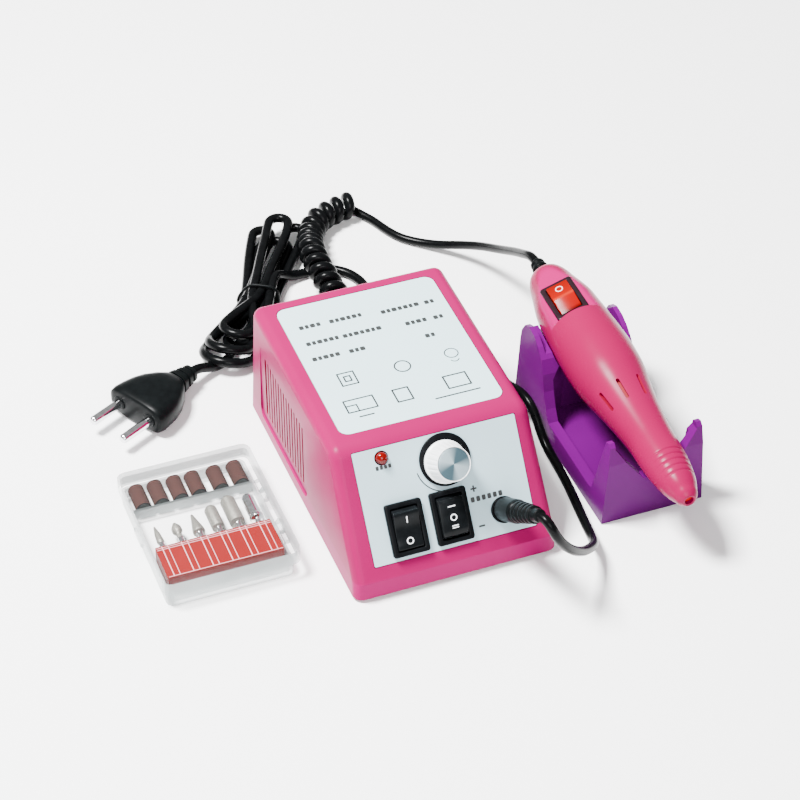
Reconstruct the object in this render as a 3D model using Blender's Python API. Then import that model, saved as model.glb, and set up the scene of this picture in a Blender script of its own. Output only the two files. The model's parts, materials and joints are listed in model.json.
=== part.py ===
"""Electric nail drill: control unit, handpiece in its cradle, curly handpiece cord, mains lead and bit case.

Frame: +X right, +Y to the rear, +Z up, metres. The origin lies on the table under the middle of the
whole set without its cords. Lengths below are in millimetres in the desk frame, whose origin is the
centre of the control unit's footprint; SHIFT moves the desk frame to the part's frame.
"""
import math

import bmesh
import bpy
from mathutils import Matrix, Vector

for old in list(bpy.data.objects):
    bpy.data.objects.remove(old, do_unlink=True)

MM = 0.001
GAP = 0.3                      # clearance between touching pieces
SHIFT = Vector((1.51, 3.505, 0.0))

# control unit
BOX_W, BOX_D = 84.4, 128.5     # footprint
BAND_Z, BAND_Y = 9.0, -63.8    # upper edge of the upright band along the front
FRONT_Y, FRONT_Z, FRONT_W = -34.1, 52.4, 81.6   # top front edge
REAR_Y, REAR_Z, REAR_W = 60.0, 54.9, 82.2       # top rear edge
WALL = 2.4
FOOT_H = 1.5
PANEL_X0, PANEL_X1, PANEL_S0, PANEL_S1 = -32.8, 34.2, 5.5, 50.2
LABEL_X0, LABEL_X1, LABEL_U0, LABEL_U1 = -33.4, 34.2, 7.6, 87.2
SW1 = (-17.45, 17.45)          # power switch centre on the panel
SW2 = (0.9, 17.6)              # direction switch centre on the panel
KNOB = (2.5, 38.9)
LED = (-21.5, 46.0)
JACK = (22.3, 14.8)
VENT_Y0, VENT_Y1, VENT_Z0, VENT_Z1, VENT_N = -2.0, 43.0, 10.5, 39.5, 15
GLAND_X, GLAND_Z = 28.0, 17.0

# handpiece
TIP = Vector((86.3, -85.0, 31.0))
TAIL = Vector((86.3, 54.8, 40.0))
ROLL = math.radians(19.0)      # rolled towards the control unit

# curly cord, lead and plug
CORD_R = 1.95
LEAD_R = 2.15
COIL_R = 6.4


# ---------------------------------------------------------------- helpers
def material(name, rgb, rough, metal=0.0, alpha=1.0):
    m = bpy.data.materials.new(name)
    m.use_nodes = True
    b = m.node_tree.nodes["Principled BSDF"]
    b.inputs["Base Color"].default_value = (*rgb, 1.0)
    b.inputs["Roughness"].default_value = rough
    b.inputs["Metallic"].default_value = metal
    b.inputs["Alpha"].default_value = alpha
    m.diffuse_color = (*rgb, 1.0)
    return m


def frame_of(origin, x, y, z):
    """Placement matrix of a local frame given in desk millimetres."""
    o = (Vector(origin) + SHIFT) * MM
    return Matrix(((x[0], y[0], z[0], o[0]), (x[1], y[1], z[1], o[1]),
                   (x[2], y[2], z[2], o[2]), (0, 0, 0, 1)))


DESK = frame_of((0, 0, 0), (1, 0, 0), (0, 1, 0), (0, 0, 1))


def body(name, bm, mat, frame=DESK, cutter=False, smooth=None):
    bmesh.ops.recalc_face_normals(bm, faces=bm.faces)
    bmesh.ops.scale(bm, vec=(MM, MM, MM), verts=bm.verts)
    mesh = bpy.data.meshes.new(name)
    bm.to_mesh(mesh)
    bm.free()
    ob = bpy.data.objects.new(name, mesh)
    bpy.context.scene.collection.objects.link(ob)
    ob.matrix_world = frame
    if cutter:
        ob.hide_render = True
        ob.display_type = "WIRE"
    else:
        mesh.materials.append(mat)
        if smooth is not None:
            mesh.shade_smooth()
            mesh.set_sharp_from_angle(angle=math.radians(smooth))
    return ob


def hide_cutter(ob):
    ob.hide_render = True
    ob.display_type = "WIRE"
    return ob


def boolean(ob, other, operation="DIFFERENCE"):
    m = ob.modifiers.new(operation.lower(), "BOOLEAN")
    m.operation = operation
    m.object = other
    m.solver = "EXACT"
    return m


def loft(bm, rings, cap=True):
    """Joins rings of equal length with quads; a ring of one point is a pole."""
    made = [[bm.verts.new(p) for p in ring] for ring in rings]
    for a, b in zip(made, made[1:]):
        n = max(len(a), len(b))
        for i in range(n):
            j = (i + 1) % n
            if len(a) == 1:
                bm.faces.new((a[0], b[i], b[j]))
            elif len(b) == 1:
                bm.faces.new((a[i], a[j], b[0]))
            else:
                bm.faces.new((a[i], a[j], b[j], b[i]))
    if cap:
        for ring in (made[0], made[-1]):
            if len(ring) > 2:
                bm.faces.new(ring)
    return made


def add_box(bm, x0, x1, y0, y1, z0, z1):
    loft(bm, [[(x0, y0, z), (x1, y0, z), (x1, y1, z), (x0, y1, z)] for z in (z0, z1)])


def add_prism(bm, outline, z0, z1):
    loft(bm, [[(x, y, z) for x, y in outline] for z in (z0, z1)])


def rounded(x0, x1, y0, y1, r, n=3):
    """Rectangle with rounded corners, anticlockwise."""
    pts = []
    for cx, cy, a0 in ((x1 - r, y1 - r, 0), (x0 + r, y1 - r, 90), (x0 + r, y0 + r, 180), (x1 - r, y0 + r, 270)):
        for k in range(n + 1):
            a = math.radians(a0 + 90 * k / n)
            pts.append((cx + r * math.cos(a), cy + r * math.sin(a)))
    return pts


def add_lathe(bm, profile, n=16, centre=(0, 0), closed=False):
    """Turns (z, r) pairs round the local Z axis through centre; closed joins the last pair to the first."""
    cx, cy = centre
    rings = []
    for z, r in profile:
        if r < 1e-6:
            rings.append([(cx, cy, z)])
        else:
            rings.append([(cx + r * math.cos(2 * math.pi * k / n), cy + r * math.sin(2 * math.pi * k / n), z)
                          for k in range(n)])
    made = loft(bm, rings, cap=not closed)
    if closed:
        a, b = made[-1], made[0]
        for i in range(n):
            j = (i + 1) % n
            bm.faces.new((a[i], a[j], b[j], b[i]))


def add_side_prism(bm, outline, x0, x1):
    """Extrudes a (y, z) outline along X."""
    loft(bm, [[(x, y, z) for y, z in outline] for x in (x0, x1)])


def catmull(points, step):
    """Centripetal curve through the points, resampled at an even step."""
    p = [Vector(a) for a in points]
    p = [p[0] * 2 - p[1]] + p + [p[-1] * 2 - p[-2]]
    fine = []
    for a, b, c, d in zip(p, p[1:], p[2:], p[3:]):
        t0, t1 = 0.0, (b - a).length ** 0.5
        t2 = t1 + (c - b).length ** 0.5
        t3 = t2 + (d - c).length ** 0.5
        for k in range(24):
            t = t1 + (t2 - t1) * k / 24
            a1 = a * ((t1 - t) / (t1 - t0)) + b * ((t - t0) / (t1 - t0))
            a2 = b * ((t2 - t) / (t2 - t1)) + c * ((t - t1) / (t2 - t1))
            a3 = c * ((t3 - t) / (t3 - t2)) + d * ((t - t2) / (t3 - t2))
            b1 = a1 * ((t2 - t) / (t2 - t0)) + a2 * ((t - t0) / (t2 - t0))
            b2 = a2 * ((t3 - t) / (t3 - t1)) + a3 * ((t - t1) / (t3 - t1))
            fine.append(b1 * ((t2 - t) / (t2 - t1)) + b2 * ((t - t1) / (t2 - t1)))
    fine.append(p[-2])
    length = [0.0]
    for a, b in zip(fine, fine[1:]):
        length.append(length[-1] + (b - a).length)
    n = max(2, round(length[-1] / step))
    out, k = [], 0
    for i in range(n + 1):
        s = length[-1] * i / n
        while k < len(fine) - 2 and length[k + 1] < s:
            k += 1
        f = (s - length[k]) / max(1e-9, length[k + 1] - length[k])
        out.append(fine[k].lerp(fine[k + 1], min(1.0, max(0.0, f))))
    return out


def tube(name, points, radius, mat, step, resolution=2):
    """A cord as a bevelled curve on a smooth route."""
    route = catmull(points, step)
    curve = bpy.data.curves.new(name, "CURVE")
    curve.dimensions = "3D"
    curve.bevel_depth = radius * MM
    curve.bevel_resolution = resolution
    curve.use_fill_caps = True
    s = curve.splines.new("POLY")
    s.points.add(len(route) - 1)
    for q, v in zip(s.points, route):
        w = (v + SHIFT) * MM
        q.co = (w[0], w[1], w[2], 1.0)
    curve.materials.append(mat)
    ob = bpy.data.objects.new(name, curve)
    bpy.context.scene.collection.objects.link(ob)
    return ob


# ---------------------------------------------------------------- materials
PINK = material("pink_shell", (0.93, 0.055, 0.26), 0.28)
PINK_HAND = material("pink_handpiece", (0.95, 0.05, 0.24), 0.26)
BASE_PINK = material("base_plastic", (0.72, 0.05, 0.22), 0.5)
SHEET = material("label_sheet", (0.74, 0.86, 0.88), 0.35)
PANEL = material("panel_sheet", (0.66, 0.78, 0.82), 0.35)
BLACK = material("black_switch", (0.012, 0.013, 0.014), 0.25)
CORDM = material("black_cord", (0.010, 0.010, 0.011), 0.25)
RUBBER = material("rubber_foot", (0.02, 0.02, 0.02), 0.8)
WHITE = material("knob_white", (0.86, 0.87, 0.87), 0.35)
ALU = material("brushed_aluminium", (0.62, 0.70, 0.73), 0.3, 1.0)
STEEL = material("steel", (0.55, 0.55, 0.56), 0.3, 1.0)
CHROME = material("chrome_pin", (0.80, 0.80, 0.82), 0.12, 1.0)
REDLENS = material("red_lens", (0.55, 0.01, 0.01), 0.1)
REDROCK = material("red_rocker", (0.95, 0.05, 0.01), 0.2)
PURPLE = material("purple_clear", (0.26, 0.03, 0.36), 0.15)
CLEAR = material("clear_case", (0.82, 0.87, 0.87), 0.15, 0.0, 0.4)
REDCLEAR = material("red_holder", (0.95, 0.03, 0.03), 0.15)
SAND = material("sanding_band", (0.20, 0.055, 0.045), 0.85)
GRIT = material("diamond_grit", (0.60, 0.58, 0.52), 0.55, 0.6)
COPPER = material("copper_winding", (0.55, 0.20, 0.08), 0.4, 0.9)
BOARD = material("circuit_green", (0.03, 0.20, 0.08), 0.5)
IRON = material("laminated_iron", (0.25, 0.25, 0.26), 0.5, 0.8)
BRASS = material("brass_collet", (0.65, 0.48, 0.18), 0.3, 1.0)

# ---------------------------------------------------------------- control unit frames
K0 = Vector((0, BAND_Y, BAND_Z))
FT = Vector((0, FRONT_Y, FRONT_Z))
RT = Vector((0, REAR_Y, REAR_Z))
FV = (FT - K0).normalized()                    # up the sloping front
FN = Vector((0, -FV.z, FV.y))                  # out of the sloping front
TV = (RT - FT).normalized()                    # along the top, to the rear
TN = Vector((0, -TV.z, TV.y))                  # out of the top
EX = Vector((1, 0, 0))


def on_front(x, s, h=0.0):
    return frame_of(K0 + EX * x + FV * s + FN * h, EX, FV, FN)


def on_top(x, u, h=0.0):
    return frame_of(FT + EX * x + TV * u + TN * h, EX, TV, TN)


# ---------------------------------------------------------------- housing
def side_ring(y, z, w):
    return [(-w / 2, y, z), (w / 2, y, z)]


def add_hull(bm, inset):
    """Body of the control unit as a section swept from side to side, thinner by inset on every face."""
    d = inset
    z_foot = FOOT_H
    fy = -BOX_D / 2 + d
    ry = BOX_D / 2 - d
    # section corners, each with its half width
    f = FT - (FN + TN) * (d / (1 + FN.dot(TN)))
    r = RT - TN * d - Vector((0, d, 0))
    bottom_w = BOX_W - 2 * d
    k_w = BOX_W - 0.3 - 2 * d
    sec = [(fy, z_foot, bottom_w), (fy + 0.4, BAND_Z, k_w), (f.y, f.z, FRONT_W - 2 * d),
           (r.y, r.z, REAR_W - 2 * d), (ry, z_foot, bottom_w)]
    left = [bm.verts.new((-w / 2, y, z)) for y, z, w in sec]
    right = [bm.verts.new((w / 2, y, z)) for y, z, w in sec]
    n = len(sec)
    for i in range(n):
        j = (i + 1) % n
        bm.faces.new((left[i], left[j], right[j], right[i]))
    bm.faces.new(left)
    bm.faces.new(list(reversed(right)))
    return left, right


bm = bmesh.new()
add_hull(bm, 0.0)
bmesh.ops.recalc_face_normals(bm, faces=bm.faces)
edges = [e for e in bm.edges if not all(v.co.z < FOOT_H + 0.01 for v in e.verts)]
soft = [e for e in edges if abs(e.verts[0].co.x - e.verts[1].co.x) < 1e-3 or abs(e.verts[0].co.x - e.verts[1].co.x) < 5
        or (e.verts[0].co.z > 30 and e.verts[1].co.z > 30)]
bmesh.ops.bevel(bm, geom=soft, offset=4.2, offset_type="OFFSET", segments=3, profile=0.5, affect="EDGES")
housing = body("housing_shell", bm, PINK, smooth=35)

bm = bmesh.new()
add_hull(bm, WALL)
for v in bm.verts:
    if v.co.z < FOOT_H + 0.01:
        v.co.z = -3.0
hollow = body("housing_hollow", bm, None, cutter=True)
boolean(housing, hollow)

# recesses and holes of the sloping front, in its own frame
bm = bmesh.new()
add_box(bm, PANEL_X0 - GAP, PANEL_X1 + GAP, PANEL_S0 - GAP, PANEL_S1 + GAP, -1.4, 6.0)
panel_recess = body("panel_recess", bm, None, on_front(0, 0), cutter=True)
boolean(housing, panel_recess)

SW_HOLE_X, SW_HOLE_S = 6.7, 9.6
bm = bmesh.new()
for cx, cs in (SW1, SW2):
    add_box(bm, cx - SW_HOLE_X, cx + SW_HOLE_X, cs - SW_HOLE_S, cs + SW_HOLE_S, -9, 4)
add_lathe(bm, [(-9, 4.5), (4, 4.5)], 16, KNOB)
add_lathe(bm, [(-9, 2.8), (4, 2.8)], 12, LED)
add_lathe(bm, [(-9, 4.3), (4, 4.3)], 16, JACK)
panel_holes = body("panel_holes", bm, None, on_front(0, 0), cutter=True)
boolean(housing, panel_holes)

bm = bmesh.new()
add_prism(bm, rounded(LABEL_X0 - GAP, LABEL_X1 + GAP, LABEL_U0 - GAP, LABEL_U1 + GAP, 4.3), -0.9, 6.0)
label_recess = body("label_recess", bm, None, on_top(0, 0), cutter=True)
boolean(housing, label_recess)

bm = bmesh.new()
pitch = (VENT_Y1 - VENT_Y0) / (VENT_N - 1)
for k in range(VENT_N):
    y = VENT_Y0 + k * pitch
    w = 1.0 if k == VENT_N - 1 else 0.55
    for side in (-1, 1):
        a, b = sorted((side * 36.0, side * 46.0))
        add_box(bm, a, b, y - w, y + w, VENT_Z0, VENT_Z1)
vents = body("vent_slots", bm, None, cutter=True)
boolean(housing, vents)

bm = bmesh.new()
add_lathe(bm, [(-8, 3.6), (8, 3.6)], 16)
RN = Vector((0, REAR_Z - FOOT_H, BOX_D / 2 - REAR_Y)).normalized()     # out of the rear face
GLAND_Y = BOX_D / 2 - (BOX_D / 2 - REAR_Y) * (GLAND_Z - FOOT_H) / (REAR_Z - FOOT_H)
GLAND_ORG = Vector((GLAND_X, GLAND_Y, GLAND_Z))
GLAND_FRAME = frame_of(GLAND_ORG, (-1, 0, 0), Vector((0, -RN.z, RN.y)), RN)
gland_hole = body("gland_hole", bm, None, GLAND_FRAME, cutter=True)
boolean(housing, gland_hole)

# base plate inside the bottom edge, on four rubber feet
PLATE_Z0, PLATE_Z1 = FOOT_H + 0.4, FOOT_H + 2.4
bm = bmesh.new()
pw, pd = BOX_W / 2 - WALL - 0.6, BOX_D / 2 - WALL - 0.9
add_prism(bm, rounded(-pw, pw, -pd, pd, 3.0), PLATE_Z0, PLATE_Z1)
base = body("base_plate", bm, BASE_PINK)
bm = bmesh.new()
FEET = [(sx * 33.0, sy * 54.0) for sx in (-1, 1) for sy in (-1, 1)]
SCREWS = [(0.0, -52.0), (0.0, 52.0)]
for x, y in SCREWS:
    add_lathe(bm, [(PLATE_Z0 - 3, 1.9), (PLATE_Z1 + 3, 1.9)], 12, (x, y))
screw_holes = body("screw_holes", bm, None, cutter=True)
boolean(base, screw_holes)
for k, (x, y) in enumerate(FEET, 1):
    bm = bmesh.new()
    add_lathe(bm, [(0.0, 4.6), (0.5, 5.2), (PLATE_Z0 - GAP, 5.2)], 16)
    body(f"rubber_foot_{k}", bm, RUBBER, frame_of((x, y, 0), (1, 0, 0), (0, 1, 0), (0, 0, 1)), smooth=40)
for k, (x, y) in enumerate(SCREWS, 1):
    bm = bmesh.new()
    add_lathe(bm, [(0.5, 3.0), (PLATE_Z0 - GAP, 3.0), (PLATE_Z0 - GAP, 1.5), (9.0, 1.5), (9.6, 0.9)], 12)
    body(f"base_screw_{k}", bm, STEEL, frame_of((x, y, 0), (1, 0, 0), (0, 1, 0), (0, 0, 1)), smooth=40)

# label on top and sheet on the front
bm = bmesh.new()
add_prism(bm, rounded(LABEL_X0, LABEL_X1, LABEL_U0, LABEL_U1, 4.0), -0.6, -0.1)
body("top_label", bm, SHEET, on_top(0, 0))

bm = bmesh.new()
add_box(bm, PANEL_X0, PANEL_X1, PANEL_S0, PANEL_S1, -1.1, -0.2)
panel = body("front_panel_plate", bm, PANEL, on_front(0, 0))
boolean(panel, panel_holes)


# ---------------------------------------------------------------- rocker switches
def arc(r, a0, a1, n):
    return [(r * math.cos(math.radians(a0 + (a1 - a0) * k / n)), r * math.sin(math.radians(a0 + (a1 - a0) * k / n)))
            for k in range(n + 1)]


def switch_body(name, mat, frame, flange, window, depth, case, flange_t, lift, pivot_z, pin_r):
    """Frame with a flange lifted off the face; the pocket holds the rocker, round holes take its pins."""
    fw, fl = flange
    ww, wl = window
    cw, cl = case
    bm = bmesh.new()
    add_box(bm, -fw / 2, fw / 2, -fl / 2, fl / 2, lift, lift + flange_t)
    made = [f for f in bm.faces if f.normal.z > 0.5 or f.calc_center_median().z > lift + flange_t - 1e-4]
    ob = body(name, bm, mat, frame)
    bm = bmesh.new()
    add_box(bm, -cw / 2, cw / 2, -cl / 2, cl / 2, -depth, lift + 0.2)
    stem = body(name + "_stem", bm, None, frame, cutter=True)
    boolean(ob, stem, "UNION")
    bm = bmesh.new()
    add_box(bm, -ww / 2, ww / 2, -wl / 2, wl / 2, -depth + 1.2, lift + flange_t + 3)
    pocket = body(name + "_pocket", bm, None, frame, cutter=True)
    boolean(ob, pocket)
    bm = bmesh.new()
    n = 10
    loft(bm, [[(x, pin_r * math.cos(2 * math.pi * k / n), pivot_z + pin_r * math.sin(2 * math.pi * k / n))
               for k in range(n)] for x in (-ww / 2 - 0.75, ww / 2 + 0.75)])
    pins = body(name + "_pin_holes", bm, None, frame, cutter=True)
    boolean(ob, pins)
    return ob


def rocker(name, mat, frame, width, outline, pin_r, pin_reach):
    """Rocker with its origin on the pivot axis, and a stub pin on each side."""
    bm = bmesh.new()
    add_side_prism(bm, outline, -width / 2, width / 2)
    ob = body(name, bm, mat, frame)
    bm = bmesh.new()
    n = 10
    loft(bm, [[(x, pin_r * math.cos(2 * math.pi * k / n), pin_r * math.sin(2 * math.pi * k / n))
               for k in range(n)] for x in (-width / 2 - pin_reach, width / 2 + pin_reach)])
    pin = body(name + "_pin", bm, None, frame, cutter=True)
    boolean(ob, pin, "UNION")
    return ob


LIFT, FLANGE_T = 0.1, 1.8      # switch flange above the panel's face
PIVOT_Z = LIFT + FLANGE_T - 2.5
for sw, (cx, cs), in (("power_switch_body", SW1), ("direction_switch_body", SW2)):
    switch_body(sw, BLACK, on_front(cx, cs), (15.0, 21.0), (11.0, 17.2), 13.0, (12.8, 18.6), FLANGE_T, LIFT,
                PIVOT_Z, 1.1)

R_END = 8.2
top_v = [(0.0, 2.8)]
power_outline = arc(R_END, -22, 26, 4) + top_v + [(-y, z) for y, z in reversed(arc(R_END, -22, 26, 4))] + \
    [(-5.0, -4.6), (5.0, -4.6)]
POWER_TILT = 9.0
rocker("power_rocker", BLACK, on_front(*SW1, PIVOT_Z) @ Matrix.Rotation(math.radians(POWER_TILT), 4, "X"), 10.4,
       power_outline, 0.75, 0.7)
dir_outline = arc(R_END, -22, 14, 4) + [(6.2, 4.1), (-5.4, 4.1)] + \
    [(-y, z) for y, z in reversed(arc(R_END, -22, 14, 4))] + [(-5.0, -4.6), (5.0, -4.6)]
rocker("direction_rocker", BLACK, on_front(*SW2, PIVOT_Z), 10.4, dir_outline, 0.75, 0.7)

# ---------------------------------------------------------------- speed control
bm = bmesh.new()
add_lathe(bm, [(-11.5, 0), (-11.5, 8.0), (-2.8, 8.0), (-2.8, 4.2), (1.4, 4.2), (1.4, 3.3), (-9.8, 3.3), (-9.8, 0)], 20)
body("potentiometer_body", bm, STEEL, on_front(*KNOB), smooth=40)
bm = bmesh.new()
add_lathe(bm, [(-9.4, 0), (-9.4, 3.0), (9.6, 3.0), (9.9, 2.6), (9.9, 0)], 16)
body("potentiometer_shaft", bm, STEEL, on_front(*KNOB), smooth=40)
bm = bmesh.new()
add_lathe(bm, [(10.2, 0), (10.2, 3.3), (1.7, 3.3), (1.7, 8.8), (2.8, 8.8), (3.1, 7.9), (12.2, 6.9), (12.7, 6.7),
               (12.7, 6.5), (11.8, 6.5), (11.8, 0)], 32)
body("speed_knob", bm, WHITE, on_front(*KNOB), smooth=35)
bm = bmesh.new()
add_lathe(bm, [(12.1, 0), (12.1, 6.2), (12.6, 6.2), (12.6, 0)], 32)
body("knob_cap", bm, ALU, on_front(*KNOB), smooth=35)

# indicator and low-voltage outlet
bm = bmesh.new()
add_lathe(bm, [(-4.0, 0), (-4.0, 2.8), (-2.8, 2.8), (-2.8, 2.45), (0.5, 2.45), (1.7, 1.9), (2.3, 1.0), (2.5, 0)], 16)
body("led_lens", bm, REDLENS, on_front(*LED), smooth=50)
bm = bmesh.new()
add_lathe(bm, [(-14.0, 0), (-14.0, 5.6), (-2.8, 5.6), (-2.8, 3.95), (0.1, 3.95), (0.1, 5.2), (1.1, 5.2), (1.3, 4.9),
               (1.3, 3.1), (-10.0, 3.1), (-10.0, 0)], 16)
body("output_jack", bm, BLACK, on_front(*JACK), smooth=40)

# transformer, board
TR = (2.0, 20.0)
bm = bmesh.new()
add_box(bm, TR[0] - 24, TR[0] + 24, TR[1] - 9, TR[1] + 9, PLATE_Z1 + GAP, PLATE_Z1 + GAP + 38)
core = body("transformer_core", bm, IRON)
bm = bmesh.new()
for sx in (-1, 1):
    a, b = sorted((TR[0] + sx * 8.0, TR[0] + sx * 16.5))
    add_box(bm, a, b, TR[1] - 20, TR[1] + 20, PLATE_Z1 + GAP + 8, PLATE_Z1 + GAP + 30)
windows = body("core_windows", bm, None, cutter=True)
boolean(core, windows)
bm = bmesh.new()
zc0, zc1 = PLATE_Z1 + GAP + 8.3, PLATE_Z1 + GAP + 29.7
outer = rounded(TR[0] - 16.2, TR[0] + 16.2, TR[1] - 15, TR[1] + 15, 5, 3)
inner = rounded(TR[0] - 8.3, TR[0] + 8.3, TR[1] - 9.3, TR[1] + 9.3, 0.5, 3)
made = [[bm.verts.new((x, y, z)) for x, y in ring] for ring, z in
        ((outer, zc0), (outer, zc1), (inner, zc1), (inner, zc0))]
for a, b in zip(made, made[1:] + made[:1]):
    for i in range(len(a)):
        j = (i + 1) % len(a)
        bm.faces.new((a[i], a[j], b[j], b[i]))
body("transformer_coil", bm, COPPER)
bm = bmesh.new()
add_box(bm, -30, 30, -36.0, -4.0, PLATE_Z1 + 4.0, PLATE_Z1 + 5.6)
body("circuit_board", bm, BOARD)

# mains gland at the rear
bm = bmesh.new()
add_lathe(bm, [(-6.0, 4.6), (-2.8, 4.6), (-2.8, 3.3), (0.3, 3.3), (0.3, 5.0), (2.4, 4.8), (4.0, 4.0), (5.2, 3.9),
               (5.6, 3.4), (7.2, 3.4), (7.6, 3.8), (9.0, 3.7), (9.4, 3.2), (11.2, 3.1), (11.6, 3.5), (13.0, 3.4),
               (13.4, 2.9), (16.0, 2.8), (16.0, 0), (-6.0, 0)][:-1], 14)
body("mains_gland", bm, CORDM, GLAND_FRAME, smooth=40)

# ---------------------------------------------------------------- handpiece
HW = (TAIL - TIP).normalized()
up0 = (Vector((0, 0, 1)) - HW * HW.z).normalized()
side0 = up0.cross(HW)
HU = up0 * math.cos(ROLL) + side0 * math.sin(ROLL)     # switch side
HS = HU.cross(HW)


def on_hand(t, s=0.0, u=0.0):
    return frame_of(TIP + HW * t + HS * s + HU * u, HS, HU, HW)


OUTER = [(-1.0, 2.9), (0.6, 4.3), (3.0, 5.2), (5.5, 6.25), (9.5, 7.35), (13.5, 8.05), (18.0, 8.65), (22.6, 9.0),
         (33.5, 9.35), (44.6, 10.35), (52.0, 11.3), (60.0, 12.6), (66.0, 13.7), (71.0, 14.45), (77.0, 14.85),
         (84.0, 15.0), (93.0, 14.7), (102.0, 14.2), (110.0, 13.6), (117.0, 13.0), (122.0, 11.95), (128.0, 10.4),
         (133.0, 9.25), (136.0, 8.2), (138.2, 6.9), (139.7, 4.7)]
INNER = [(-1.0, 1.9), (4.6, 1.9), (4.7, 4.0), (15.6, 4.2), (15.7, 5.4), (24.3, 5.4), (24.4, 4.0), (47.0, 4.0),
         (48.5, 8.6), (58.0, 10.4), (61.0, 11.4), (62.5, 12.0), (97.0, 12.0), (97.1, 8.8), (119.0, 8.8), (126.0, 7.8),
         (132.0, 6.6), (133.4, 6.2), (133.5, 2.5), (139.7, 2.5)]


def radius_at(profile, t):
    for (a, ra), (b, rb) in zip(profile, profile[1:]):
        if a <= t <= b:
            return ra + (rb - ra) * (t - a) / (b - a)
    return profile[-1][1]


stations = sorted({t for t, _ in OUTER} | {t for t, _ in INNER})
SEG = 12


def half_shell(name, sign, mat):
    """Half of the handpiece on the +up (sign 1) or -up (sign -1) side of the split plane."""
    rings = []
    off = sign * GAP / 2
    for t in stations:
        ro, ri = radius_at(OUTER, t), radius_at(INNER, t)
        a = [(ro * math.cos(math.pi * k / SEG), sign * ro * math.sin(math.pi * k / SEG) + off, t)
             for k in range(SEG + 1)]
        b = [(ri * math.cos(math.pi * k / SEG), sign * ri * math.sin(math.pi * k / SEG) + off, t)
             for k in range(SEG, -1, -1)]
        rings.append(a + b)
    bm = bmesh.new()
    loft(bm, rings)
    return body(name, bm, mat, on_hand(0), smooth=35)


upper = half_shell("handpiece_upper_shell", 1, PINK_HAND)
lower = half_shell("handpiece_lower_shell", -1, PINK_HAND)

# flat for the switch, falling towards the rear, behind an arched lip
FLAT_T0, FLAT_H0, FLAT_A = 101.2, 10.9, math.radians(3.2)
fd = HW * math.cos(FLAT_A) - HU * math.sin(FLAT_A)
fnrm = HU * math.cos(FLAT_A) + HW * math.sin(FLAT_A)
SWH_T = 112.2
SWH_ORG = TIP + HW * SWH_T + HU * (FLAT_H0 - (SWH_T - FLAT_T0) * math.tan(FLAT_A))
SWH_Y = -fd                                           # towards the tip
SWH_X = SWH_Y.cross(fnrm)
HSW = frame_of(SWH_ORG, SWH_X, SWH_Y, fnrm)


def on_switch(z):
    return frame_of(SWH_ORG + fnrm * z, SWH_X, SWH_Y, fnrm)


bm = bmesh.new()
add_box(bm, -20, 20, -30, 11.0, 0.0, 14)
flat_cut = body("switch_flat", bm, None, HSW, cutter=True)
boolean(upper, flat_cut)
bm = bmesh.new()
add_box(bm, -6.45, 6.45, -9.65, 9.65, -12, 4)
switch_cut = body("switch_hole", bm, None, HSW, cutter=True)
boolean(upper, switch_cut)
bm = bmesh.new()
for a in (-42, 0, 42):
    m = Matrix.Rotation(math.radians(-a), 4, "Z")
    ring = rounded(-0.65, 0.65, 49.5, 59.6, 0.6, 2)
    loft(bm, [[m @ Vector((x, h, t)) for x, t in ring] for h in (8.6, 15.0)])
slot_cut = body("cooling_slots", bm, None, on_hand(0), cutter=True)
boolean(upper, slot_cut)

switch_body("handpiece_switch_body", BLACK, HSW, (14.2, 21.0), (10.0, 17.2), 8.4, (12.2, 18.6), 1.1, 0.1,
            1.2 - 2.0, 1.0)
RH = 8.2
hand_outline = arc(RH, -24, 19, 4) + [(0.0, 3.9)] + [(-y, z) for y, z in reversed(arc(RH, -24, 19, 4))] + \
    [(-4.6, -4.4), (4.6, -4.4)]
rocker("handpiece_rocker", REDROCK, on_switch(1.2 - 2.0) @ Matrix.Rotation(math.radians(-8.0), 4, "X"), 9.4,
       hand_outline, 0.65, 0.7)

bm = bmesh.new()
add_lathe(bm, [(63.5, 0), (63.5, 11.6), (95.5, 11.6), (95.5, 5.0), (98.5, 5.0), (98.5, 0)], 20)
motor = body("motor_can", bm, STEEL, on_hand(0), smooth=40)
bm = bmesh.new()
add_lathe(bm, [(60.0, 1.8), (90.0, 1.8)], 12)
motor_bore = body("motor_bore", bm, None, on_hand(0), cutter=True)
boolean(motor, motor_bore)
bm = bmesh.new()
add_lathe(bm, [(14.3, 0), (14.3, 2.2), (26.0, 2.2), (26.0, 3.2), (45.0, 3.2), (45.0, 1.5), (88.0, 1.5), (88.0, 0)], 16)
body("drive_spindle", bm, STEEL, on_hand(0), smooth=40)
bm = bmesh.new()
add_lathe(bm, [(5.2, 1.25), (5.2, 2.6), (7.0, 3.4), (14.0, 3.6), (14.0, 1.25)], 16, closed=True)
body("collet", bm, BRASS, on_hand(0), smooth=40)
bm = bmesh.new()
add_lathe(bm, [(16.0, 2.5), (16.0, 5.1), (24.0, 5.1), (24.0, 2.5)], 20, closed=True)
body("front_bearing", bm, STEEL, on_hand(0), smooth=40)
bm = bmesh.new()
add_lathe(bm, [(135.2, 0), (135.2, 2.2), (140.0, 2.2), (140.0, 3.6), (141.6, 3.5),
               (141.9, 3.0), (143.0, 3.0), (143.3, 3.4), (144.6, 3.3), (144.9, 2.8), (146.0, 2.8), (146.3, 3.1),
               (147.8, 2.9), (148.2, 2.2), (148.2, 0)], 14)
body("handpiece_strain_relief", bm, CORDM, on_hand(0), smooth=40)

# ---------------------------------------------------------------- cradle
CX = 86.5
CR_W, CR_Y0, CR_Y1 = 44.2, -56.5, 31.5
WALL_C = 4.4
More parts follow.
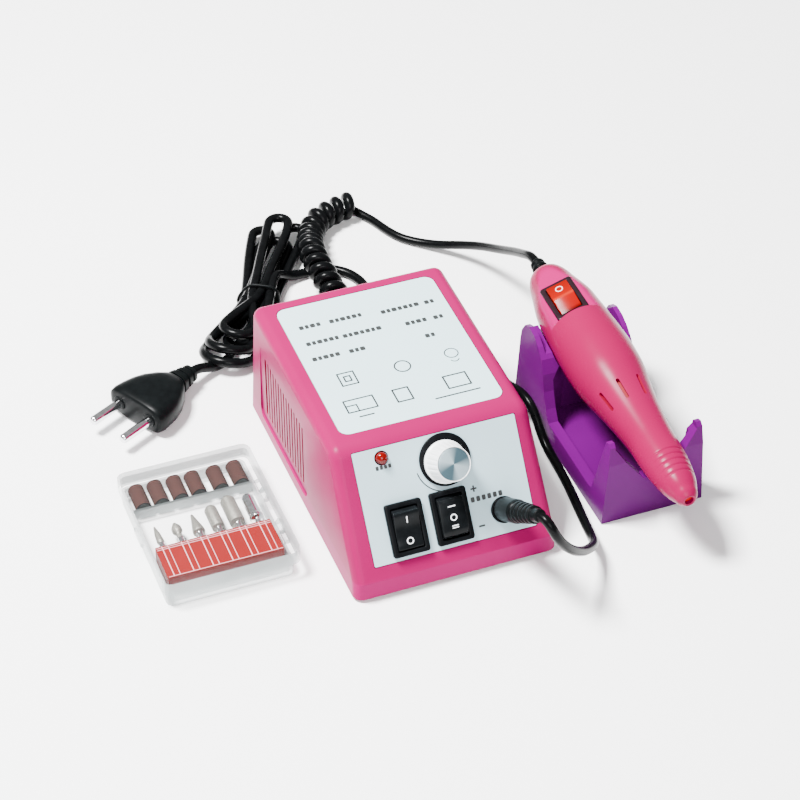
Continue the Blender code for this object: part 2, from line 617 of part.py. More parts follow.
# outline of the side wall, front to rear
side_top = [(CR_Y0, 0.3), (CR_Y0, 30.0), (CR_Y0 + 1.2, 38.0), (CR_Y0 + 2.6, 39.6), (CR_Y0 + 5.0, 38.8), (-44.5, 9.8), (-42.0, 9.0),
            (-2.0, 9.0), (1.5, 13.5), (5.0, 20.0), (7.5, 27.0), (10.5, 32.5), (14.5, 36.2), (19.0, 38.6), (24.5, 39.4),
            (28.5, 37.6), (31.0, 33.5), (CR_Y1, 29.0), (CR_Y1, 0.3)]
DRAFT = 0.058                  # the side walls lean in by this per unit of height
bm = bmesh.new()
add_side_prism(bm, side_top, CX - CR_W / 2, CX + CR_W / 2)
for v in bm.verts:
    v.co.x -= math.copysign(DRAFT * v.co.z, v.co.x - CX)
cradle = body("cradle", bm, PURPLE, smooth=30)
bm = bmesh.new()
xi = CR_W / 2 - WALL_C
# trough between the walls, from behind the front wall to the saddle
add_prism(bm, [(CX - xi, CR_Y0 + WALL_C), (CX + xi, CR_Y0 + WALL_C), (CX + xi, 6.5), (CX + xi - 7.5, 11.6),
               (CX - xi + 7.5, 11.6), (CX - xi, 6.5)], 4.0, 60.0)
for v in bm.verts:
    v.co.x -= math.copysign(DRAFT * v.co.z, v.co.x - CX)
trough = body("cradle_trough", bm, None, cutter=True)
boolean(cradle, trough)


def groove(bm, t0, t1, grow):
    """Channel for the handpiece: its outline grown by a clearance and open to above."""
    rings = []
    ts = [t for t, _ in OUTER if t0 < t < t1]
    for t in [t0] + ts + [t1]:
        r = radius_at(OUTER, t) + grow
        c = TIP + HW * t
        ring = []
        for k in range(13):
            a = math.pi + math.pi * k / 12
            ring.append((c.x + r * math.cos(a), c.y, c.z + r * math.sin(a)))
        ring.append((c.x + r + 1.5, c.y, c.z + 40))
        ring.append((c.x - r - 1.5, c.y, c.z + 40))
        rings.append(ring)
    loft(bm, rings)


bm = bmesh.new()
groove(bm, 86.0, 128.0, 0.5)
rear_groove = body("rear_groove", bm, None, cutter=True)
boolean(cradle, rear_groove)
# V notch of the front wall, with shoulders beside the handpiece
bm = bmesh.new()
z_notch = 24.5
loft(bm, [[(CX - 17.5, y, 60), (CX - 17.5, y, 37.0), (CX - 13.0, y, 30.0), (CX - 8.8, y, z_notch), (CX - 4.8, y, z_notch - 5.2),
           (CX + 4.8, y, z_notch - 5.2), (CX + 8.8, y, z_notch), (CX + 13.0, y, 30.0), (CX + 17.5, y, 37.0), (CX + 17.5, y, 60)]
          for y in (CR_Y0 - 3, CR_Y0 + WALL_C + 2)])
front_notch = body("front_notch", bm, None, cutter=True)
boolean(cradle, front_notch)
# the saddle is open above the shoulders
bm = bmesh.new()
add_box(bm, CX - xi, CX + xi, 5.0, CR_Y1 + 5, 34.0, 60)
saddle_top = body("saddle_top", bm, None, cutter=True)
boolean(cradle, saddle_top)
# hollow underside of the saddle
bm = bmesh.new()
add_box(bm, CX - xi + 2, CX + xi - 2, 15.0, CR_Y1 - 3.5, -2.0, 15.0)
saddle_under = body("saddle_under", bm, None, cutter=True)
boolean(cradle, saddle_under)

# ---------------------------------------------------------------- bit case
CA_X0, CA_X1, CA_Y0, CA_Y1 = -110.8, -55.2, -41.0, 27.2
BASE_H, LID_Z0, LID_Z1 = 6.2, 6.5, 12.7
HINGE_X, HINGE_Z = -56.35, 4.6
HINGE_R = 1.2


def add_open_box(bm, x0, x1, y0, y1, r, z0, z1, wall, floor, up=True):
    """Shallow box with rounded corners, open upwards, or downwards when up is False."""
    outer = rounded(x0, x1, y0, y1, r)
    inner = rounded(x0 + wall, x1 - wall, y0 + wall, y1 - wall, max(0.4, r - wall))
    if up:
        order = ((outer, z0), (outer, z1), (inner, z1), (inner, z0 + floor))
    else:
        order = ((outer, z1), (outer, z0), (inner, z0), (inner, z1 - floor))
    made = [[bm.verts.new((x, y, z)) for x, y in ring] for ring, z in order]
    for a, b in zip(made, made[1:]):
        for i in range(len(a)):
            j = (i + 1) % len(a)
            bm.faces.new((a[i], a[j], b[j], b[i]))
    bm.faces.new(made[0])
    bm.faces.new(made[-1])


bm = bmesh.new()
BX0, BX1, BY0, BY1 = CA_X0 + 1.2, CA_X1 - 2.7, CA_Y0 + 1.2, CA_Y1 - 1.2
add_open_box(bm, BX0, BX1, BY0, BY1, 3.0, 0.0, BASE_H, 1.2, 1.2)
case_base = body("case_base", bm, CLEAR)
bm = bmesh.new()
add_box(bm, BX0 + 0.6, BX1 - 0.6, 10.4, 11.5, 0.6, 6.0)
divider = body("case_divider", bm, None, cutter=True)
boolean(case_base, divider, "UNION")
KN = [(-26.0, -20.0), (6.0, 12.0)]                    # knuckles of the base along the hinge
bm = bmesh.new()
for y0, y1 in KN:
    n = 10
    loft(bm, [[(HINGE_X + HINGE_R * math.cos(2 * math.pi * k / n), y, HINGE_Z + HINGE_R * math.sin(2 * math.pi * k / n))
               for k in range(n)] for y in (y0, y1)])
knuckles = body("base_knuckles", bm, None, cutter=True)
boolean(case_base, knuckles, "UNION")
bm = bmesh.new()
for y0, y1 in KN:
    add_box(bm, BX1 - 0.6, HINGE_X, y0, y1, HINGE_Z - 0.9, HINGE_Z + 0.7)
webs = body("base_webs", bm, None, cutter=True)
boolean(case_base, webs, "UNION")

LID_FRAME = frame_of((HINGE_X, 0, HINGE_Z), (1, 0, 0), (0, 1, 0), (0, 0, 1))
lx, lz = HINGE_X, HINGE_Z
bm = bmesh.new()
add_open_box(bm, CA_X0 - lx, CA_X1 - lx, CA_Y0, CA_Y1, 3.6, LID_Z0 - lz, LID_Z1 - lz, 1.2, 1.2, up=False)
case_lid = body("case_lid", bm, CLEAR, LID_FRAME)
bm = bmesh.new()
for y0, y1 in ((-19.7, -14.0), (-0.0, 5.7)):
    n = 12
    outline = [(HINGE_R * math.cos(math.radians(a)), HINGE_R * math.sin(math.radians(a)))
               for a in range(180, 361, 30)] + [(HINGE_R, 2.4), (-0.1, 2.4), (-HINGE_R, 0.8)]
    loft(bm, [[(x, y, z) for x, z in outline] for y in (y0, y1)])
lid_ears = body("lid_ears", bm, None, LID_FRAME, cutter=True)
boolean(case_lid, lid_ears, "UNION")
bm = bmesh.new()
add_prism(bm, rounded(CA_X0 - lx - 0.8, CA_X0 - lx + 1.0, -11.0, -1.0, 0.8, 2), LID_Z0 - lz, LID_Z0 - lz + 2.2)
lid_tab = body("lid_tab", bm, None, LID_FRAME, cutter=True)
boolean(case_lid, lid_tab, "UNION")

HOLD_X0, HOLD_X1, HOLD_Y0, HOLD_Y1 = -107.0, -60.0, -33.0, -15.0
BIT_X = [-103.0 + 7.9 * k for k in range(6)]
BIT_Z = 5.0
bm = bmesh.new()
add_box(bm, HOLD_X0, HOLD_X1, HOLD_Y0, HOLD_Y1, 1.2 + GAP, 8.6)
holder = body("bit_holder", bm, REDCLEAR)
bm = bmesh.new()
for x in BIT_X:
    add_box(bm, x - 1.5, x + 1.5, HOLD_Y0 + 1.2, HOLD_Y1 + 2, 3.4, 12)
holder_slots = body("holder_slots", bm, None, cutter=True)
boolean(holder, holder_slots)

SH = 1.18
BIT_Y0 = HOLD_Y0 + 1.6
HEADS = [
    ("bit_needle", [(24.6, SH), (25.6, 1.5), (30.0, 1.2), (34.5, 0.35), (35.0, 0)]),
    ("bit_bud", [(24.8, SH), (27.0, 1.0), (29.0, 2.1), (31.0, 2.0), (33.6, 0.7), (34.2, 0)]),
    ("bit_cone", [(25.0, SH), (25.4, 2.5), (27.0, 2.4), (36.0, 0.5), (36.5, 0)]),
    ("bit_cylinder", [(25.0, SH), (25.4, 2.6), (36.2, 2.6), (37.6, 1.6), (38.0, 0)]),
    ("bit_barrel", [(25.0, SH), (25.4, 3.1), (38.5, 3.1), (40.2, 2.0), (40.6, 0)]),
    ("bit_mandrel", [(24.4, SH), (24.8, 2.8), (26.0, 2.9), (27.0, 2.5), (37.0, 2.6), (38.6, 1.9), (39.0, 0)]),
]
for (name, head), x in zip(HEADS, BIT_X):
    bm = bmesh.new()
    add_lathe(bm, [(0.0, 0), (0.0, 0.9), (0.4, SH)] + [(z - 3.0, r) for z, r in head], 12)
    body(name, bm, GRIT if name != "bit_mandrel" else CHROME,
         frame_of((x, BIT_Y0, BIT_Z), (-1, 0, 0), (0, 0, 1), (0, 1, 0)), smooth=40)

for k, x in enumerate((-103.6, -96.0, -88.0, -80.4, -71.2, -62.7), 1):
    bm = bmesh.new()
    add_lathe(bm, [(0.0, 2.7), (0.0, 3.2), (12.2, 3.2), (12.2, 2.7)], 16, closed=True)
    body(f"sanding_band_{k}", bm, SAND, frame_of((x, 12.0, 1.2 + GAP + 3.25), (-1, 0, 0), (0, 0, 1), (0, 1, 0)),
         smooth=40)

# ---------------------------------------------------------------- plug and curly cord of the handpiece
PLUG_TILT = math.radians(-2.6)
PLUG = on_front(*JACK, -4.0) @ Matrix.Rotation(PLUG_TILT, 4, "X")
bm = bmesh.new()
add_lathe(bm, [(-4.8, 0), (-4.8, 2.4), (-4.4, 2.6), (5.9, 2.6), (5.9, 4.4), (6.3, 4.75), (20.5, 4.75), (22.0, 4.2), (23.0, 3.7),
               (24.2, 4.0), (26.0, 4.0), (26.4, 3.4), (27.4, 3.4), (27.8, 3.9), (29.6, 3.8), (30.0, 3.2), (31.0, 3.2),
               (31.4, 3.6), (33.2, 3.5), (33.6, 3.0), (34.6, 3.0), (35.0, 3.4), (36.8, 3.3), (37.2, 2.8), (38.2, 2.8),
               (38.6, 3.2), (40.4, 3.0), (41.0, 2.6), (46.0, 2.5), (46.0, 0)], 14)
body("dc_plug", bm, CORDM, PLUG, smooth=40)
plug_axis = (PLUG.to_3x3() @ Vector((0, 0, 1))).normalized()
plug_end = (PLUG @ Vector((0, 0, 46.0 * MM))) / MM - SHIFT
P0 = plug_end + plug_axis * GAP
COIL_START = Vector((15.4, 98.0, 7.3))
COIL_PATH = [COIL_START, (12.9, 109.0, 8.8), (11.8, 121.0, 11.0), (11.6, 132.0, 12.1), (12.5, 140.5, 11.7), (14.8, 149.5, 9.2),
             (18.6, 159.5, 6.8),
             (25.0, 168.3, 6.6), (34.0, 172.6, 6.6), (44.6, 175.2, 6.6)]
FRONT_ROUTE = [P0 + plug_axis * 0.35, P0 + plug_axis * 2.6, P0 + plug_axis * 4.8 + Vector((0.6, -0.2, -0.9)), (24.8, -96.0, 43.4), (28.0, -95.4, 37.2), (33.8, -92.6, 28.9), (42.3, -85.8, 18.9),
               (49.0, -79.0, 12.6), (53.4, -73.6, 8.4), (55.9, -65.6, 4.6), (57.5, -56.0, 2.8), (59.6, -40.5, 2.2),
               (60.9, -28.0, 2.2), (61.4, -18.0, 2.2), (61.5, -10.5, 2.5), (61.3, -4.8, 4.4), (61.1, -0.6, 8.2),
               (60.8, 3.6, 12.8), (60.2, 8.6, 15.3), (59.2, 15.5, 14.7), (57.4, 27.0, 11.0), (54.6, 42.0, 7.6),
               (51.2, 57.0, 6.4), (46.0, 71.0, 6.4), (38.6, 80.6, 6.9), (30.0, 85.0, 7.1), (23.4, 87.2, 7.2), (18.4, 90.6, 7.2),
               COIL_START + Vector((0.75, -GAP - 3.0, -0.1)), COIL_START + Vector((0.08, -GAP, -0.02))]
tube("handpiece_cord_front", FRONT_ROUTE, CORD_R, CORDM, 5.2, 2)
tube("handpiece_cord_coil", COIL_PATH, COIL_R, CORDM, 6.0, 4)
h_end = TIP + HW * 148.2
c_end = Vector(COIL_PATH[-1])
c_dir = (Vector(COIL_PATH[-1]) - Vector(COIL_PATH[-2])).normalized()
PEEL = Vector((0.95, -3.85, -2.0))                       # where the last turn leaves the coil
REAR_ROUTE = [c_end + c_dir * (GAP + 0.5) + PEEL, c_end + c_dir * 4.2 + PEEL + Vector((0, -0.1, -0.3)), (50.4, 169.8, 3.4),
              (51.2, 164.0, 2.4), (53.4, 156.4, 2.2), (57.6, 148.4, 2.2), (64.4, 141.4, 2.4), (71.0, 134.4, 4.2),
              (77.3, 126.0, 8.2), (82.2, 114.6, 14.2), (85.2, 99.0, 22.4), (86.2, 84.0, 31.2), (86.1, 73.4, 37.2),
              h_end + HW * (GAP + 3.9), h_end + HW * (GAP + 0.2)]
tube("handpiece_cord_rear", REAR_ROUTE, CORD_R, CORDM, 5.2, 2)

# ---------------------------------------------------------------- mains lead, hank, tie and plug
# the bundle's centre line from the table end to the far end, with its half widths left and right
HANK = [(-49.0, 86.6, 5.4, 5.4), (-45.6, 90.4, 10.6, 10.6), (-39.6, 97.0, 14.4, 14.4), (-32.2, 105.4, 15.2, 15.0),
        (-25.4, 114.2, 11.8, 11.8), (-18.2, 125.2, 8.6, 8.2), (-12.8, 134.6, 8.8, 8.4), (-6.0, 147.4, 9.9, 9.2),
        (0.4, 159.4, 11.2, 8.9), (5.6, 168.6, 11.4, 8.2)]
HANK_TIP = [(17.6, 171.8), (19.8, 174.2), (18.4, 176.6), (12.4, 177.2), (7.4, 178.0), (2.4, 177.4), (-1.8, 174.6)]
HANK_Z0, HANK_Z1 = 0.2, 12.6


def hank_outline():
    """Bow-shaped outline: a waist under the tie and a rounded bight at each end."""
    left, right = [], []
    for k, (x, y, wl, wr) in enumerate(HANK):
        a, b = HANK[max(0, k - 1)], HANK[min(len(HANK) - 1, k + 1)]
        d = Vector((b[0] - a[0], b[1] - a[1])).normalized()
        left.append((x - d.y * wl, y + d.x * wl))
        right.append((x + d.y * wr, y - d.x * wr))
    return right + HANK_TIP + list(reversed(left))


bm = bmesh.new()
ol = hank_outline()
loft(bm, [[(x, y, HANK_Z0) for x, y in ol], [(x, y, HANK_Z1) for x, y in ol]])
body("mains_hank", bm, CORDM)

gl_end = GLAND_ORG + RN * 16.0
LEAD_ROUTE = [gl_end + RN * GAP, gl_end + RN * 4.0, gl_end + RN * 8.0, (28.4, 93.5, 14.0), (29.2, 100.0, 7.0),
              (29.8, 108.0, 2.9), (29.9, 117.0, 2.3), (28.9, 125.6, 2.3), (25.3, 132.6, 2.3), (20.0, 136.8, 2.3), (13.0, 138.6, 2.3),
              (7.0, 138.3, 2.5), (4.0, 137.9, 2.7), (0.9, 137.4, 3.0)]
tube("mains_lead", LEAD_ROUTE, LEAD_R, CORDM, 7.5, 2)

# wire tie over the waist, open towards the table
tp = Vector((-17.5, 125.8))
td = Vector((HANK[6][0] - HANK[4][0], HANK[6][1] - HANK[4][1])).normalized()
TIE = frame_of((tp.x, tp.y, 0), (td.y, -td.x, 0), (td.x, td.y, 0), (0, 0, 1))
bm = bmesh.new()
TW, TT = 9.6, 1.3
u_out = [(-TW - TT, 0.2), (-TW - TT, HANK_Z1 + 0.4 + TT - 2), (-TW - TT + 2, HANK_Z1 + 0.4 + TT), (TW + TT - 2, HANK_Z1 + 0.4 + TT),
         (TW + TT, HANK_Z1 + 0.4 + TT - 2), (TW + TT, 0.2), (TW, 0.2), (TW, HANK_Z1 + 0.4), (-TW, HANK_Z1 + 0.4), (-TW, 0.2)]
loft(bm, [[(x, y, z) for x, z in u_out] for y in (-1.0, 1.0)])
body("cord_tie", bm, CORDM, TIE)

# Europlug, lying flat
PLUG_DIR = Vector((-0.878, -0.478, 0)).normalized()      # towards the pins
PLUG_RELIEF = Vector((-61.0, 84.4, 7.2))                 # where the lead enters
PS = Vector((PLUG_DIR.y, -PLUG_DIR.x, 0))
PS = Vector((0, 0, 1)).cross(PLUG_DIR) * -1
MP = frame_of(PLUG_RELIEF, PLUG_DIR, Vector((0, 0, 1)).cross(PLUG_DIR), (0, 0, 1))
bm = bmesh.new()
secs = [(0.0, 2.9, 2.9), (1.6, 3.6, 3.2), (2.0, 3.0, 2.8), (3.2, 3.1, 2.9), (3.6, 4.2, 3.6), (5.2, 4.3, 3.7), (5.6, 3.6, 3.2),
        (6.8, 3.8, 3.3), (7.2, 4.9, 4.1), (8.8, 5.1, 4.3), (9.2, 4.3, 3.7), (10.2, 6.0, 4.6), (13.5, 9.0, 5.6), (18.0, 11.9, 6.5),
        (26.0, 14.4, 6.8), (31.0, 15.2, 6.8), (33.4, 14.6, 6.6), (34.2, 13.8, 6.0)]
rings = []
for x, hw, hh in secs:
    ring = []
    for k in range(16):
        a = 2 * math.pi * (k + 0.5) / 16
        e = 0.62
        cy, cz = math.cos(a), math.sin(a)
        ring.append((x, hw * math.copysign(abs(cy) ** e, cy), hh * math.copysign(abs(cz) ** e, cz)))
    rings.append(ring)
loft(bm, rings)
mains_plug = body("mains_plug", bm, CORDM, MP, smooth=35)
bm = bmesh.new()
for sy in (-1, 1):
    n = 12
    loft(bm, [[(x, sy * 8.7 + 2.35 * math.cos(2 * math.pi * k / n), 2.35 * math.sin(2 * math.pi * k / n))
               for k in range(n)] for x in (27.0, 40.0)])
pin_sockets = body("pin_sockets", bm, None, MP, cutter=True)
boolean(mains_plug, pin_sockets)
for name, sy in (("plug_pin_left", 1), ("plug_pin_right", -1)):
    bm = bmesh.new()
    add_lathe(bm, [(27.4, 0), (27.4, 2.0), (49.4, 2.0), (50.1, 1.5), (50.4, 0.7), (50.4, 0)], 12)
    yv = Vector((0, 0, 1)).cross(PLUG_DIR)
    body(name, bm, CHROME, frame_of(PLUG_RELIEF + yv * (8.7 * sy), yv, (0, 0, 1), PLUG_DIR), smooth=40)

TAIL_ROUTE = [Vector((-53.2, 87.9, 5.0)), Vector((-55.4, 86.9, 5.6)), Vector((-58.0, 86.0, 6.7)), PLUG_RELIEF - PLUG_DIR * (GAP + 0.6),
              PLUG_RELIEF - PLUG_DIR * GAP]
tube("mains_tail", TAIL_ROUTE, LEAD_R, CORDM, 3.0, 2)
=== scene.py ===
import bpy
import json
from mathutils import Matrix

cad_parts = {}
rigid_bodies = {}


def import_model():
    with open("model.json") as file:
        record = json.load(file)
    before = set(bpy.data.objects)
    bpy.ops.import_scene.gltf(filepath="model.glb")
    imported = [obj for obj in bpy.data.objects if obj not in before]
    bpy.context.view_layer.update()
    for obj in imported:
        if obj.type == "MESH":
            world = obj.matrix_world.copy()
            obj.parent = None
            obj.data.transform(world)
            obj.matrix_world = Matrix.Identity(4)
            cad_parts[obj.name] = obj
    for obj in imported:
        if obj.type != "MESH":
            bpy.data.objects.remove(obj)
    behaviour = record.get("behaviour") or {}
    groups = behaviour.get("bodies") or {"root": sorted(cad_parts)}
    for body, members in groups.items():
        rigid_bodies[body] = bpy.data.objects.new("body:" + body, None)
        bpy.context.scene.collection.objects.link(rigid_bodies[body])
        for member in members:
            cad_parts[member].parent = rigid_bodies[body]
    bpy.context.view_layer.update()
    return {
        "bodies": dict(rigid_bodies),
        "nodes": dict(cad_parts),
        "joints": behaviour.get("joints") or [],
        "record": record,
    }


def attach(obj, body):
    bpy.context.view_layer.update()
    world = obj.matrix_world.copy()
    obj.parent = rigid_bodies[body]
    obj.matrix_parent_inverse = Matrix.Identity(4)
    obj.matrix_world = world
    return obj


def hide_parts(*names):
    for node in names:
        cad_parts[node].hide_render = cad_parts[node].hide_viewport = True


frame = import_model()

import json
import math

import bmesh
import bpy
from mathutils import Matrix, Vector

MM = 0.001
GAP = 0.3
SHIFT = Vector((1.51, 3.505, 0.0))     # desk frame (mm) to the row frame
SC = bpy.context.scene


def D(v):
    return (Vector(v) + SHIFT) * MM


def srgb(h):
    c = [int(h[i:i + 2], 16) / 255 for i in (1, 3, 5)]
    return tuple(x / 12.92 if x <= 0.04045 else ((x + 0.055) / 1.055) ** 2.4 for x in c)


# ------------------------------------------------------------------ camera
cam_data = bpy.data.cameras.new("camera")
cam_data.sensor_width = 36.0
cam_data.lens = 112.5
cam_data.clip_start = 0.05
cam_data.clip_end = 20.0
cam = bpy.data.objects.new("camera", cam_data)
SC.collection.objects.link(cam)
cr, cu, cb = Vector((0.93396, -0.35739, 0)), Vector((0.23020, 0.60158, 0.76492)), Vector((-0.27338, -0.71440, 0.64412))
cp = D((-270.08, -707.24, 677.16))
cam.matrix_world = Matrix(((cr.x, cu.x, cb.x, cp.x), (cr.y, cu.y, cb.y, cp.y), (cr.z, cu.z, cb.z, cp.z), (0, 0, 0, 1)))
SC.camera = cam


# ------------------------------------------------------------------ materials
def nodes_of(m):
    m.use_nodes = True
    t = m.node_tree
    return t, t.nodes, t.links, t.nodes["Principled BSDF"]


def noise(t, scale, detail=3.0, rough=0.5, stretch=None):
    n, l = t.nodes, t.links
    co = n.new("ShaderNodeTexCoord")
    mp = n.new("ShaderNodeMapping")
    if stretch:
        mp.inputs["Scale"].default_value = stretch
    tx = n.new("ShaderNodeTexNoise")
    tx.inputs["Scale"].default_value = scale
    tx.inputs["Detail"].default_value = detail
    tx.inputs["Roughness"].default_value = rough
    l.new(co.outputs["Object"], mp.inputs["Vector"])
    l.new(mp.outputs["Vector"], tx.inputs["Vector"])
    return tx.outputs["Fac"]


def ramp(t, fac, stops):
    r = t.nodes.new("ShaderNodeValToRGB")
    e = r.color_ramp.elements
    while len(e) < len(stops):
        e.new(0.5)
    for k, (p, c) in enumerate(stops):
        e[k].position = p
        e[k].color = (*c, 1.0) if len(c) == 3 else c
    t.links.new(fac, r.inputs["Fac"])
    return r.outputs["Color"]


def span(t, fac, lo, hi):
    r = t.nodes.new("ShaderNodeMapRange")
    r.inputs["To Min"].default_value = lo
    r.inputs["To Max"].default_value = hi
    t.links.new(fac, r.inputs["Value"])
    return r.outputs["Result"]


def add_bump(t, b, height, strength, distance):
    bp = t.nodes.new("ShaderNodeBump")
    bp.inputs["Strength"].default_value = strength
    bp.inputs["Distance"].default_value = distance
    t.links.new(height, bp.inputs["Height"])
    t.links.new(bp.outputs["Normal"], b.inputs["Normal"])


def plastic(name, rgb, rough=0.3, vary=0.05, vscale=60, rvary=0.06, bump=0.05, bscale=2500, dist=0.00003, **kw):
    """Moulded plastic: slow colour drift, uneven gloss and a fine surface texture."""
    m = bpy.data.materials.new(name)
    t, n, l, b = nodes_of(m)
    lo = tuple(max(0.0, c * (1 - vary)) for c in rgb)
    hi = tuple(min(1.0, c * (1 + vary)) for c in rgb)
    l.new(ramp(t, noise(t, vscale), [(0.3, lo), (0.7, hi)]), b.inputs["Base Color"])
    l.new(span(t, noise(t, vscale * 4.0, 4.0), max(0.02, rough - rvary), rough + rvary), b.inputs["Roughness"])
    add_bump(t, b, noise(t, bscale, 2.0), bump, dist)
    for k, v in kw.items():
        b.inputs[k.replace("_", " ")].default_value = v
    m.diffuse_color = (*rgb, 1.0)
    return m


# deeper pink for the walls cut by the vents and slots: painted shade inside these openings
PINK_SLOT_SHADE = plastic("pink_slot_shade_v", (0.20, 0.0, 0.018), 0.5, Specular_IOR_Level=0.1)
BASE_PINK = plastic("base_pink_v", (0.30, 0.002, 0.06), 0.5)
SHEET = plastic("label_sheet_v", (0.44, 0.60, 0.64), 0.42, 0.015, 30, 0.03, 0.03, 4000)
PANEL = plastic("panel_sheet_v", (0.36, 0.49, 0.54), 0.40, 0.015, 30, 0.03, 0.03, 4000)
INK = plastic("ink_v", (0.012, 0.014, 0.014), 0.5, 0.2, 900, 0.05)
INK_SOFT = plastic("ink_soft_v", (0.09, 0.10, 0.10), 0.5, 0.2, 900, 0.05)
WHITE_INK = plastic("white_ink_v", (0.80, 0.82, 0.84), 0.4, 0.03, 900)
BLACK = plastic("black_plastic_v", (0.0030, 0.0034, 0.0040), 0.24, 0.25, 300, 0.05, 0.08, 2200, Specular_IOR_Level=0.05)
BLACK_ROCK = plastic("black_rocker_v", (0.0035, 0.0042, 0.0048), 0.18, 0.25, 300, 0.04, 0.03, 2200, Specular_IOR_Level=0.07)
CORD = plastic("cord_v", (0.0018, 0.0020, 0.0022), 0.24, 0.3, 350, 0.05, 0.10, 1800, 0.00004, Specular_IOR_Level=0.06)
MOULD = plastic("moulded_black_v", (0.0024, 0.0030, 0.0032), 0.34, 0.25, 350, 0.05, 0.10, 1800, 0.00004, Specular_IOR_Level=0.045)
RUBBER = plastic("rubber_v", (0.02, 0.02, 0.02), 0.8, 0.2, 500, 0.05, 0.3, 3000)
WHITE = plastic("knob_white_v", (0.80, 0.82, 0.83), 0.3, 0.03, 200, 0.04)
BEZEL = plastic("bezel_brown_v", (0.009, 0.0035, 0.0055), 0.32, 0.2, 300, 0.05, 0.05, 2500, Specular_IOR_Level=0.12)
REDLENS = plastic("red_lens_v", (0.10, 0.0, 0.0), 0.10, 0.15, 300, 0.03, 0.02, 2500, Specular_IOR_Level=0.25)
TIP_RED = plastic("tip_red_v", (0.42, 0.0, 0.002), 0.5, 0.05, 200, Specular_IOR_Level=0.1)


def metal(name, rgb, rough, scale=900, stretch=None, rvary=0.08, bump=0.05):
    m = bpy.data.materials.new(name)
    t, n, l, b = nodes_of(m)
    f = noise(t, scale, 4.0, 0.6, stretch)
    lo = tuple(c * 0.86 for c in rgb)
    hi = tuple(min(1.0, c * 1.1) for c in rgb)
    l.new(ramp(t, f, [(0.3, lo), (0.7, hi)]), b.inputs["Base Color"])
    l.new(span(t, f, max(0.03, rough - rvary), rough + rvary), b.inputs["Roughness"])
    add_bump(t, b, f, bump, 0.00003)
    b.inputs["Metallic"].default_value = 1.0
    m.diffuse_color = (*rgb, 1.0)
    return m


STEEL = metal("steel_v", (0.58, 0.58, 0.60), 0.28)
CHROME = metal("chrome_v", (0.80, 0.80, 0.82), 0.12, 600)
BRASS = metal("brass_v", (0.65, 0.48, 0.18), 0.3)
IRON = metal("iron_v", (0.22, 0.22, 0.23), 0.45)
COPPER = metal("copper_v", (0.55, 0.22, 0.09), 0.4, 1600, (1, 1, 12))


def cap_material():
    """Turned metal: four light and dark sectors under fine rings, painted into the colour as the reflection of the
    turning.
    """
    m = bpy.data.materials.new("turned_cap_v")
    t, n, l, b = nodes_of(m)
    co = n.new("ShaderNodeTexCoord")
    mp = n.new("ShaderNodeMapping")
    mp.inputs["Rotation"].default_value = (0, 0, math.radians(28))
    g = n.new("ShaderNodeTexGradient")
    g.gradient_type = "RADIAL"
    l.new(co.outputs["Object"], mp.inputs["Vector"])
    l.new(mp.outputs["Vector"], g.inputs["Vector"])
    # light and dark sectors: a painted reflection of the turned face
    a, c = (0.34, 0.43, 0.47), (0.045, 0.085, 0.105)
    stops = [(0.0, a), (0.14, c), (0.27, c), (0.36, a), (0.50, a), (0.62, c), (0.76, c), (0.88, a)]
    l.new(ramp(t, g.outputs["Fac"], stops), b.inputs["Base Color"])
    w = n.new("ShaderNodeTexWave")
    w.wave_type = "RINGS"
    w.rings_direction = "Z"
    w.inputs["Scale"].default_value = 900
    l.new(co.outputs["Object"], w.inputs["Vector"])
    l.new(span(t, w.outputs["Fac"], 0.30, 0.42), b.inputs["Roughness"])
    add_bump(t, b, w.outputs["Fac"], 0.15, 0.00002)
    b.inputs["Metallic"].default_value = 0.55
    return m


def grit_material(name, c0, c1, rough):
    m = bpy.data.materials.new(name)
    t, n, l, b = nodes_of(m)
    v = n.new("ShaderNodeTexVoronoi")
    v.inputs["Scale"].default_value = 2600
    co = n.new("ShaderNodeTexCoord")
    l.new(co.outputs["Object"], v.inputs["Vector"])
    l.new(ramp(t, v.outputs["Distance"], [(0.1, c1), (0.75, c0)]), b.inputs["Base Color"])
    l.new(span(t, noise(t, 1500), rough - 0.1, rough + 0.1), b.inputs["Roughness"])
    add_bump(t, b, v.outputs["Distance"], 0.6, 0.00015)
    b.inputs["Metallic"].default_value = 0.5
    return m


GRIT = grit_material("grit_v", (0.24, 0.23, 0.20), (0.07, 0.066, 0.06), 0.45)
GRIT_GOLD = grit_material("grit_gold_v", (0.55, 0.50, 0.42), (0.28, 0.25, 0.20), 0.45)


def band_material():
    """Brown abrasive cloth wound round: stripes along the tube, grains on top."""
    m = bpy.data.materials.new("sandpaper_v")
    t, n, l, b = nodes_of(m)
    w = n.new("ShaderNodeTexWave")
    w.wave_type = "BANDS"
    w.bands_direction = "Z"
    w.inputs["Scale"].default_value = 330
    w.inputs["Distortion"].default_value = 3.2
    w.inputs["Detail"].default_value = 3.0
    w.inputs["Detail Scale"].default_value = 2.0
    co = n.new("ShaderNodeTexCoord")
    l.new(co.outputs["Object"], w.inputs["Vector"])
    l.new(ramp(t, w.outputs["Fac"], [(0.25, (0.0045, 0.001, 0.0008)), (0.6, (0.022, 0.0045, 0.0035)), (0.95, (0.070, 0.024, 0.018))]),
          b.inputs["Base Color"])
    b.inputs["Specular IOR Level"].default_value = 0.1
    g = noise(t, 5000, 2.0)
    l.new(span(t, g, 0.7, 0.95), b.inputs["Roughness"])
    add_bump(t, b, g, 0.6, 0.0001)
    return m


SAND = band_material()


